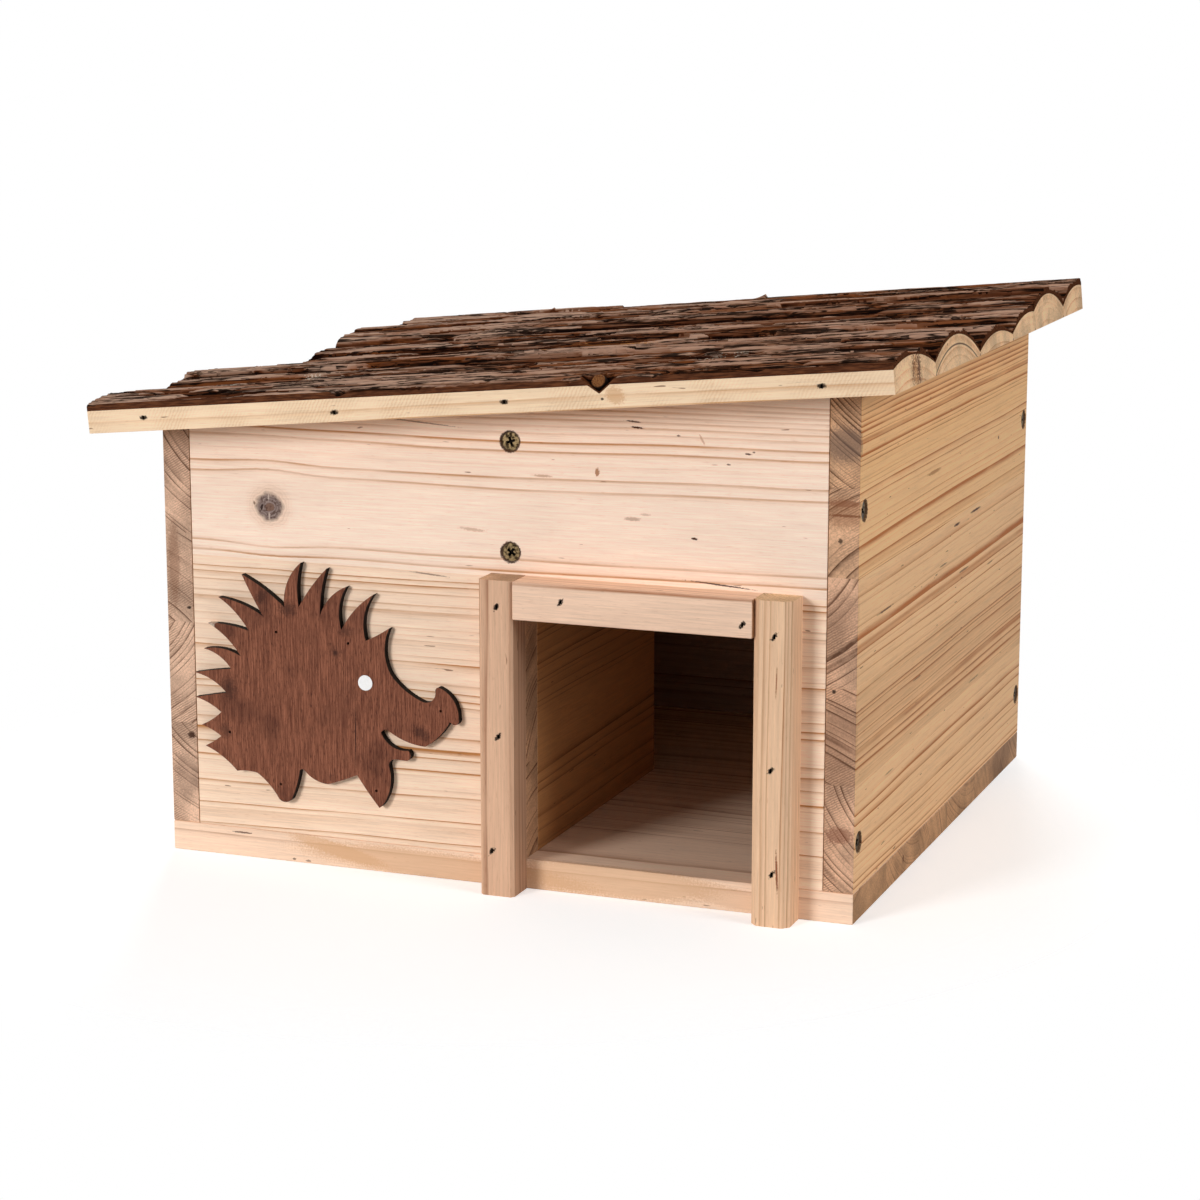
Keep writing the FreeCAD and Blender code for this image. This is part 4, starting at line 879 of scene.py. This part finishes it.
def plate_rows(slab, width):
    """The rows of plates on a slab: back edge, place of the break, and steps down left and right."""
    count = round(width / PLATE_WIDTH)
    first_break, last_break = PLATE_BREAKS
    rows = []
    for row in range(count):
        back = row + 1 + PLATE_SCATTER * (scattered((slab, row + 1), EDGE_COUNTS) - 0.5)
        split = first_break + (last_break - first_break) * scattered((slab, row), BREAK_COUNTS)
        steps = [int(PLATE_LEVELS * scattered((slab, row, half), LEVEL_COUNTS)) for half in (0, 1)]
        rows.append((back / count, split, (0, 0) if (slab, row) == (1, 0) else steps))
    return rows


for row, values in SLAB_ROWS.items():
    values["plates"] = plate_rows(row, values["back"] - values["front"])
    print("slab", row, "has", len(values["plates"]), "rows of plates")

# %% [markdown]
# The relief is a few millimetres deep and is seen from the side, so it has to be real shape and not
# only a bump. Smooth noise bends the plates' edges, cells of a Voronoi pattern make narrow strips,
# and the borders between the cells gape here and there as cracks.

# %% Bark relief
CRACK_WIDTH = 0.15
STRIP_STEP, FIBRE_STEP, CRACK_DEPTH = 0.9, 0.35, 2.0


def at(along, across, seed):
    """The value of smooth noise, from about -1 to 1, at a place on the bark."""
    return noise.noise(Vector((along, across, seed)))


def plate_drop(values, along, across):
    """How far the plate at a place lies below the highest ones."""
    along_share = along / (2 * LID_HALF) + 0.5
    across_share = (across - values["front"]) / (values["back"] - values["front"])
    for back, split, steps in values["plates"]:
        if across_share < back:
            break
    return PLATE_STEP * steps[along_share > split]


def bark_relief(values, along, across, seed):
    """How far the plate and the strip at a place lie below the bark's outer round, and the strip's tone."""
    fray = 0.8 * at(along / 9, across / 5, seed + 9) + 0.5 * at(along / 3, across / 2, seed + 13)
    bent = across + 2.4 * at(along / 70, across / 30, seed + 5) + fray
    slid = along + 14 * at(along / 30, across / 4, seed + 21)
    spans, homes = noise.voronoi(Vector((along / 52, bent / 4.2, seed + 2)))
    strip = 0.5 + 0.5 * noise.cell(9.7 * homes[0])
    crack = max(0.0, 1 - (spans[1] - spans[0]) / CRACK_WIDTH)
    gape = min(1.0, max(0.0, 0.5 + 1.6 * at(along / 42, bent / 13, seed + 41)))
    fibre = 0.5 - 0.5 * at(along / 11, bent / 1.3, seed + 31)
    fine = STRIP_STEP * (1 - strip) + FIBRE_STEP * fibre + CRACK_DEPTH * crack * gape
    return plate_drop(values, slid, bent), fine, strip


sample = [sum(bark_relief(SLAB_ROWS[2], i - 200, -120 + 0.19 * i, 1.0)[:2]) for i in range(400)]
print("the bark's relief runs from", round(min(sample), 2), "to", round(max(sample), 2), "mm")

# %% [markdown]
# Each layer starts as the round strip that the solid has: a spun arc above, another below, joined
# to a section, pushed out along the slab and cut into fine rows. Then each point of the top sinks
# by the relief.

# %% Bark layers
BARK_ROWS = 500
BARK_STEP = 0.8
BARK_GAP = 0.05
LINING_STEPS = {1: 60}
PLAIN_LINING_STEPS = 12
VALLEY_WIDTH = 4.0


def arc_points(shape, values, reach, steps):
    """A spun arc over the log at the slab's low end, from its back edge to its front edge."""
    axis = Vector((-LID_HALF, values["log"], values["crown"] - values["radius"]))
    start = math.acos((values["back"] - values["log"]) / reach)
    stop = math.acos((values["front"] - values["log"]) / reach)
    first = shape.verts.new(axis + reach * Vector((0, math.cos(start), math.sin(start))))
    spun = bmesh.ops.spin(shape, geom=[first], cent=axis, axis=(1, 0, 0), angle=stop - start, steps=steps)
    last = next(item for item in spun["geom_last"] if isinstance(item, bmesh.types.BMVert))
    return first, last


def bark_blank(row):
    """The smooth bark strip of one slab, cut into fine rows along it."""
    shape = bmesh.new()
    values = SLAB_ROWS[row]
    steps = round((values["back"] - values["front"]) / BARK_STEP)
    top_first, top_last = arc_points(shape, values, values["radius"] + values["bark"], steps)
    steps = LINING_STEPS.get(row, PLAIN_LINING_STEPS)
    low_first, low_last = arc_points(shape, values, values["radius"] + BARK_GAP, steps)
    shape.edges.new((top_first, low_first))
    shape.edges.new((top_last, low_last))
    section = bmesh.ops.contextual_create(shape, geom=shape.edges[:])["faces"]
    pushed = bmesh.ops.extrude_face_region(shape, geom=section, use_keep_orig=True)["geom"]
    ends = [item for item in pushed if isinstance(item, bmesh.types.BMVert)]
    bmesh.ops.translate(shape, verts=ends, vec=(2 * LID_HALF, 0, 0))
    long_edges = [edge for edge in shape.edges if edge.calc_length() > LID_HALF]
    bmesh.ops.subdivide_edges(shape, edges=long_edges, cuts=BARK_ROWS, use_grid_fill=False)
    bmesh.ops.recalc_face_normals(shape, faces=shape.faces[:])
    return shape


print("bark blanks have", BARK_ROWS + 1, "rows along the slab")

# %% [markdown]
# Where a branch once grew, the front slab has a small V, and the bark dips into it. At the valleys
# between slabs the bark thins out, and at the back a few flakes have curled up. Each point also gets
# a painted shade, kept as an attribute so that the colour can follow it: the deeper a point lies, in
# the cracks and on the lower plates, the darker it is painted, and the notch's lining is painted dark.
# The plates on top stay lighter and greyer.

# %% Shaped bark
BRANCH_PLACE, BRANCH_TIP, BRANCH_SLOPE = 65.3, 7.0, 0.75
BRANCH_BACK, BACK_SLOPE = -193.5, 4
LINING = 0.8
NOTCH_SHADE, PLATE_SHADE, SHADE_DEPTH = 0.12, 0.2, 2.5
VALLEY_DEPTH = 1.8
FLAKES = [(6, 12, 190, 9, 2.2, 2.0), (6, -118, 188, 7, 1.8, 1.5), (5, -60, 118, 8, 2.0, 1.6)]


def notch_height(x, y):
    """The floor of the branch notch at a place on the front slab."""
    return BRANCH_TIP + BRANCH_SLOPE * abs(x - BRANCH_PLACE) + BACK_SLOPE * max(0.0, y - BRANCH_BACK)


def curl(row, x, y):
    """How far a curled flake lifts the bark at a place; it rises to the right and ends abruptly."""
    lift = 0.0
    for slab, flake_x, flake_y, length, half, height in FLAKES:
        rise = (x - flake_x) / length
        if slab == row and 0 < rise < 1 and abs(y - flake_y) < half:
            lift = max(lift, height * rise * rise)
    return lift


def shape_bark(row):
    """One layer of bark with its relief, in the lid's frame."""
    values = SLAB_ROWS[row]
    shape = bark_blank(row)
    outer = values["radius"] + values["bark"]
    axis_z = values["crown"] - values["radius"]
    depth = values["bark"] - LINING
    relief = shape.verts.layers.float.new("relief")
    tone = shape.verts.layers.float.new("strip_tone")
    for face in shape.faces:
        cut = abs(face.normal.x) > 0.9 or abs(face.normal.y) > 0.97 or face.normal.z < 0
        face.material_index = int(cut)
        face.smooth = not cut
    for point in shape.verts:
        x, y, z = point.co
        notch = notch_height(x, y) if row == 1 else z + 1
        if math.hypot(y - values["log"], z - axis_z) < outer - 0.01:
            point.co.z = min(z, notch + BARK_GAP)
            continue
        across = outer * math.atan2(y - values["log"], z - axis_z)
        plate, fine, point[tone] = bark_relief(values, x, values["log"] + across, BARK_SEED_STEP * row)
        edges = [y - values["front"]] if row > 1 else []
        edges += [values["back"] - y] if row < len(SLAB_ROWS) else []
        fine += VALLEY_DEPTH * max(0.0, 1 - min(edges) / VALLEY_WIDTH) ** 2
        top = z - min(plate + fine, depth) + curl(row, x, y)
        point.co.z = min(top, notch + LINING)
        # Painted shade: the deeper a point lies below the outer round, the lower its value and the darker
        # its colour; the notch's lining gets a fixed dark value.
        shade = max(0.0, 1 - (fine + PLATE_SHADE * plate) / SHADE_DEPTH)
        point[relief] = shade if top < notch + LINING else NOTCH_SHADE
    return shape


def keep_piece(shape, name, body, materials, replaced=()):
    """Turn a shape in the lid's millimetres into a finished piece of the house."""
    bmesh.ops.transform(shape, matrix=Matrix.Scale(MM, 4) @ lid, verts=shape.verts[:])
    mesh = bpy.data.meshes.new(name)
    shape.to_mesh(mesh)
    shape.free()
    for material in materials:
        mesh.materials.append(material)
    piece = bpy.data.objects.new(name, mesh)
    bpy.context.scene.collection.objects.link(piece)
    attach(piece, body)
    if replaced:
        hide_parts(*replaced)
    return piece


print("the branch notch is", BRANCH_TIP, "mm over the slab's underside")

# %% [markdown]
# The bark's finish reads that painted shade: nearly black in the cracks, red-brown on their flanks and
# grey-brown on the plates. Towards the left end the plates turn greyer and lighter, partly weathering
# and partly painted light from the left. Fibres run along the slab. Where noise passes through its
# middle value it draws long closed lines, and these make hair cracks that are finer than the mesh; they
# are painted nearly black, as painted shade inside them. Rust, grey and a few lichen spots break the
# colour up.

# %% Bark finish
bark_rough, tree, shader = new_material("bark_ridges", 0.0)
place, _ = lid_places(tree)
height = add(tree, "Attribute", attribute_name="relief").outputs["Fac"]


def bark_noise(shrink, scale, detail):
    """Noise drawn out along the slab."""
    drawn_out = vector(tree, calc(tree, "DIVIDE", place[0], shrink), place[1], place[2])
    return cloud(tree, drawn_out, scale, detail, 0.6)


def shaded_hair_cracks(shrink, scale, width):
    """Thin lines where noise passes through its middle value; they carry the painted shade inside hair
    cracks.
    """
    off = calc(tree, "ABSOLUTE", calc(tree, "SUBTRACT", bark_noise(shrink, scale, 4.0), 0.5))
    return ease(tree, off, width, width / 4)


strip = add(tree, "Attribute", attribute_name="strip_tone").outputs["Fac"]
fibre = bark_noise(28.0, 1.5, 5.0)
level = calc(tree, "ADD", height, calc(tree, "MULTIPLY", calc(tree, "SUBTRACT", fibre, 0.5), 0.65))
level = calc(tree, "MULTIPLY_ADD", calc(tree, "SUBTRACT", strip, 0.5), 0.58, level)
# The low stops paint the deep parts nearly black and red-brown: painted shade.
BARK_STOPS = ((0.12, (28, 10, 4)), (0.36, (94, 52, 31)), (0.62, (132, 89, 65)), (0.98, (194, 154, 130)))
brown = ramp_of(tree, level, [(position, tint(*colour)) for position, colour in BARK_STOPS])[0]
# Greyer, lighter plate tops towards the left end: partly weathering, partly painted light from the left.
WEATHERED_LIT_X, FRESH_UNLIT_X = -160, 120
weathered_and_lit = calc(tree, "MULTIPLY", ease(tree, place[0], FRESH_UNLIT_X, WEATHERED_LIT_X), ease(tree, level, 0.42, 0.85))
colour = blend(tree, calc(tree, "MULTIPLY", weathered_and_lit, 0.7), brown, tint(198, 163, 141))
rust = ease(tree, bark_noise(5.0, 0.09, 4.0), 0.5, 0.66)
colour = blend(tree, calc(tree, "MULTIPLY", rust, 0.65), colour, tint(138, 78, 42))
crumbs = calc(tree, "SUBTRACT", cloud(tree, vector(tree, *place), 0.9, 3.0), 0.5)
AMBER, WHITISH = (198, 132, 72), (220, 202, 182)
PATCHES = [
    (-105, -47, 28, 8, AMBER, 2.4), (10, -13, 30, 8, AMBER, 2.4), (-20, 38, 28, 9, AMBER, 2.4),
    (60, -30, 18, 6, AMBER, 2.4), (-60, 10, 18, 6, AMBER, 2.4), (0, -72, 4.5, 5, WHITISH, 4.0),
    (91, -114, 8, 5, WHITISH, 4.0), (106, -112, 5, 4, WHITISH, 4.5), (-68, -7.5, 7, 4, WHITISH, 4.5),
    (-122, -116, 6, 3, WHITISH, 5.0), (-150, -150, 4, 3, WHITISH, 5.0), (150, -70, 5, 4, WHITISH, 5.0),
]
for x, y, length, breadth, stain, ragged in PATCHES:
    along = calc(tree, "DIVIDE", calc(tree, "SUBTRACT", place[0], x), length)
    across = calc(tree, "DIVIDE", calc(tree, "SUBTRACT", place[1], y), breadth)
    far = apart(tree, vector(tree, along, across, 0.0))
    patch = ease(tree, calc(tree, "MULTIPLY_ADD", crumbs, ragged, far), 0.9, 0.5)
    patch = calc(tree, "MULTIPLY", patch, ease(tree, level, 0.22, 0.5))
    colour = blend(tree, calc(tree, "MULTIPLY", patch, 0.85), colour, tint(*stain))
broad_crack_shade, fine = shaded_hair_cracks(12.0, 0.13, 0.05), shaded_hair_cracks(9.0, 0.36, 0.05)
fine = calc(tree, "MULTIPLY", fine, ease(tree, bark_noise(4.0, 0.07, 2.0), 0.46, 0.6))
split = calc(tree, "MAXIMUM", broad_crack_shade, calc(tree, "MULTIPLY", fine, 0.85))
# Painted shade: the hair cracks are coloured nearly black.
colour = blend(tree, calc(tree, "MULTIPLY", split, 0.94), colour, tint(14, 9, 7))
grit = calc(tree, "ADD", fibre, bark_noise(3.0, 2.2, 3.0))
coat(tree, shader, colour, 0.85, calc(tree, "SUBTRACT", grit, split), 0.6, 0.7 * MM)

bark_cut, tree, shader = new_material("bark_sawn", 0.0)
place, _ = lid_places(tree)
fibre = bark_noise(9.0, 1.1, 3.0)
colour = blend(tree, ease(tree, fibre, 0.35, 0.7), tint(70, 40, 27), tint(112, 68, 44))
coat(tree, shader, colour, 0.8, fibre, 0.4, 0.3 * MM)

for row in SLAB_ROWS:
    layer = keep_piece(
        shape_bark(row), f"bark_layer_{row}", "roof", [bark_rough, bark_cut], [f"roof_bark_{row}"],
    )
    print(layer.name, "has", len(layer.data.polygons), "faces")

# %% [markdown]
# In the notch sits the stump of the branch, cut off with the slab. It is a short tapered peg with
# a softened rim. Its torn end is mottled, and its side is dark like the bark.

# %% Branch stump
STUMP_TIP = Vector((64.4, -196.6, 13.0))
STUMP_AIM = Vector((0.05, -0.82, 0.5)).normalized()
STUMP_LENGTH, STUMP_RADIUS, STUMP_FLARE, STUMP_ROUND = 9.0, 3.5, 0.8, 0.6

stump_wood, tree, shader = new_material("stump_end")
place, _ = lid_places(tree)
spot = vector(tree, *place)
dark = ease(tree, cloud(tree, spot, 1.9, 3.0, 0.7), 0.36, 0.66)
colour = blend(tree, dark, tint(150, 98, 56), tint(92, 54, 30))
colour = blend(tree, ease(tree, apart(tree, spot, STUMP_TIP), 2.9, 3.6), colour, tint(34, 20, 14))
coat(tree, shader, colour, 0.8, dark, 0.4, 0.4 * MM)

stump = bmesh.new()
bmesh.ops.create_cone(
    stump, cap_ends=True, segments=20, radius1=STUMP_RADIUS + STUMP_FLARE, radius2=STUMP_RADIUS,
    depth=STUMP_LENGTH,
)
rim = [edge for edge in stump.edges if all(v.co.z > STUMP_LENGTH / 2 - 0.1 for v in edge.verts)]
bmesh.ops.bevel(stump, geom=rim, offset=STUMP_ROUND, affect="EDGES", segments=3, profile=0.5, material=-1)
for point in stump.verts:
    point.co *= 1 + 0.09 * noise.noise(point.co / 3)
aimed = STUMP_AIM.to_track_quat("Z", "Y").to_matrix().to_4x4()
sunk = Matrix.Translation(STUMP_TIP) @ aimed @ Matrix.Translation((0, 0, -STUMP_LENGTH / 2))
bmesh.ops.transform(stump, matrix=sunk, verts=stump.verts[:])
keep_piece(stump, "branch_stump", "roof", [stump_wood])
print("the stump leans", round(math.degrees(STUMP_AIM.angle(Vector((0, -1, 0)))), 1), "degrees up")

# %% [markdown]
# The hedgehog is thin plywood with a dark red-brown stain. Its edges were burnt by the cutter, so
# they are black. The normal in the piece's own frame tells a face from an edge: the front looks
# along Y, and the edges don't. The eye is a disc of white enamel.

# %% Stained figure and its eye
FIGURE_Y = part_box("hedgehog_figure")[0][1] / MM
SMUDGE = (52, 30, 25)
FIGURE_MARKS = [
    (-74.7, 71, 0.5, 23, 0.02, 0.95, 0.5), (-89, 47.7, 0.4, 4, 0.05, 0.8, 0.5),
    (-85, 111, 1.8, 2.0, 0, 0.8, 0.6), (-85, 111, 4, 5, 0, 0.35, 1.2), (-110.9, 131.3, 7, 5, 0, 0.6, 1.2),
    (-125.4, 136.3, 4, 5, 0.6, 0.6, 1.2), (-144.9, 88.1, 7, 8, 0, 0.6, 1.2), (-147, 66, 4, 6, 0, 0.5, 1.2),
    (-39, 74.4, 7, 4, 0.5, 0.6, 1.2), (-79.6, 122.7, 5, 4, 0, 0.55, 1.2),
]
stain, tree, shader = new_material("stained_plywood")
spots = add(tree, "TexCoord").outputs
sized = add(tree, "VectorMath", {0: spots["Object"], 1: [1 / MM] * 3}, operation="MULTIPLY").outputs[0]
x, y, z = parts_of(tree, sized)
streak = cloud(tree, vector(tree, x, y, calc(tree, "DIVIDE", z, 22.0)), 1.6, 5.0, 0.75)
pores = cloud(tree, vector(tree, x, y, calc(tree, "DIVIDE", z, 7.0)), 2.4, 2.0)
pores = ease(tree, pores, 0.56, 0.7)
blotch = cloud(tree, sized, 0.045, 3.0)
colour = blend(tree, ease(tree, streak, 0.3, 0.72), tint(92, 50, 36), tint(162, 103, 78))
colour = blend(tree, ease(tree, blotch, 0.48, 0.72, 0.0, 0.5), colour, tint(66, 35, 27))
colour = blend(tree, calc(tree, "MULTIPLY", pores, 0.6), colour, tint(58, 30, 23))
for x, z, width, rise, tilt, share, ragged in FIGURE_MARKS:
    place, size = (x, FIGURE_Y, z), (width, 5, rise)
    colour = mark(tree, colour, place, size, (0, tilt, 0), SMUDGE, share, ragged, 0.2)
edge = ease(tree, calc(tree, "ABSOLUTE", parts_of(tree, spots["Normal"])[1]), 0.8, 0.5)
colour = blend(tree, edge, colour, tint(22, 15, 12))
CHIPPED_TIP = (-153.5, -171.0, 120.6)
chip = calc(tree, "MULTIPLY_ADD", cloud(tree, sized, 0.8, 2.0), 3.0, apart(tree, sized, CHIPPED_TIP))
colour = blend(tree, ease(tree, chip, 4.4, 3.4), colour, tint(196, 176, 160))
roughness = calc(tree, "MULTIPLY_ADD", streak, 0.2, 0.5)
coat(tree, shader, colour, roughness, calc(tree, "SUBTRACT", streak, pores), 0.35, 0.3 * MM)
dress("hedgehog_figure", stain)

enamel, tree, shader = new_material("eye_enamel", 0.5)
dust = cloud(tree, add(tree, "TexCoord").outputs["Object"], 900.0, 3.0)
colour = blend(tree, ease(tree, dust, 0.4, 0.75), WHITE, tint(250, 250, 248))
coat(tree, shader, colour, 0.4, dust, 0.2, 0.2 * MM)
dress("hedgehog_eye", enamel)
print("figure and eye are dressed")

# %% [markdown]
# Screws are yellow zinc, which goes from gold to a dull brown-green. Brads are plain dark steel,
# and the hinges are bright zinc. Metal has no grain, so clouds vary its tone and fine scuffs its
# roughness.

# %% Metals
def metal(name, first, second, scale, roughness, heads=None):
    """Plated metal with clouded tone and fine scuffs; heads gives the axis and the place of screw faces
    and the way into them, so that their recesses get a painted shade."""
    material, tree, shader = new_material(name, 0.5)
    spots = add(tree, "TexCoord").outputs["Object"]
    patch = cloud(tree, spots, scale, 3.0)
    scuff = cloud(tree, spots, scale * 9, 2.0)
    colour = blend(tree, ease(tree, patch, 0.38, 0.62), tint(*first), tint(*second))
    if heads:
        axis, face, way = heads
        # Painted shade: points below the head's face, in the recesses, are coloured nearly black.
        inward = calc(tree, "SUBTRACT", parts_of(tree, spots)[axis], face)
        sunk = ease(tree, calc(tree, "MULTIPLY", inward, way / MM), 0.15, 0.6)
        colour = blend(tree, sunk, colour, tint(17, 13, 10))
    shader.inputs["Metallic"].default_value = 1.0
    coat(tree, shader, colour, calc(tree, "MULTIPLY_ADD", scuff, 0.3, roughness), scuff, 0.35, 0.1 * MM)
    return material


GOLD, OLIVE = (126, 106, 76), (42, 32, 20)
SCREW_FACES = {
    "front_screws": (1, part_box("front_screws")[0][1], 1),
    "base_screws": (2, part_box("base_screws")[0][2], 1),
    "left_side_screws": (0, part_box("left_side_screws")[0][0], 1),
    "right_side_screws": (0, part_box("right_side_screws")[1][0], -1),
    "batten_screws": None,
}
brad_steel = metal("dark_steel", (30, 27, 25), (16, 14, 13), 500.0, 0.45)
pin_steel = metal("browned_pins", (74, 46, 36), (44, 27, 21), 500.0, 0.5)
zinc_bright = metal("bright_zinc", (196, 196, 192), (160, 160, 158), 120.0, 0.28)
for node, heads in SCREW_FACES.items():
    dress(node, metal(f"{node}_zinc", GOLD, OLIVE, 700.0, 0.22, heads))
for node in nodes:
    if "hinge" in node:
        dress(node, zinc_bright)
    elif "pins" in node:
        dress(node, pin_steel)
    elif "brads" in node:
        dress(node, brad_steel)
print("metals are dressed")
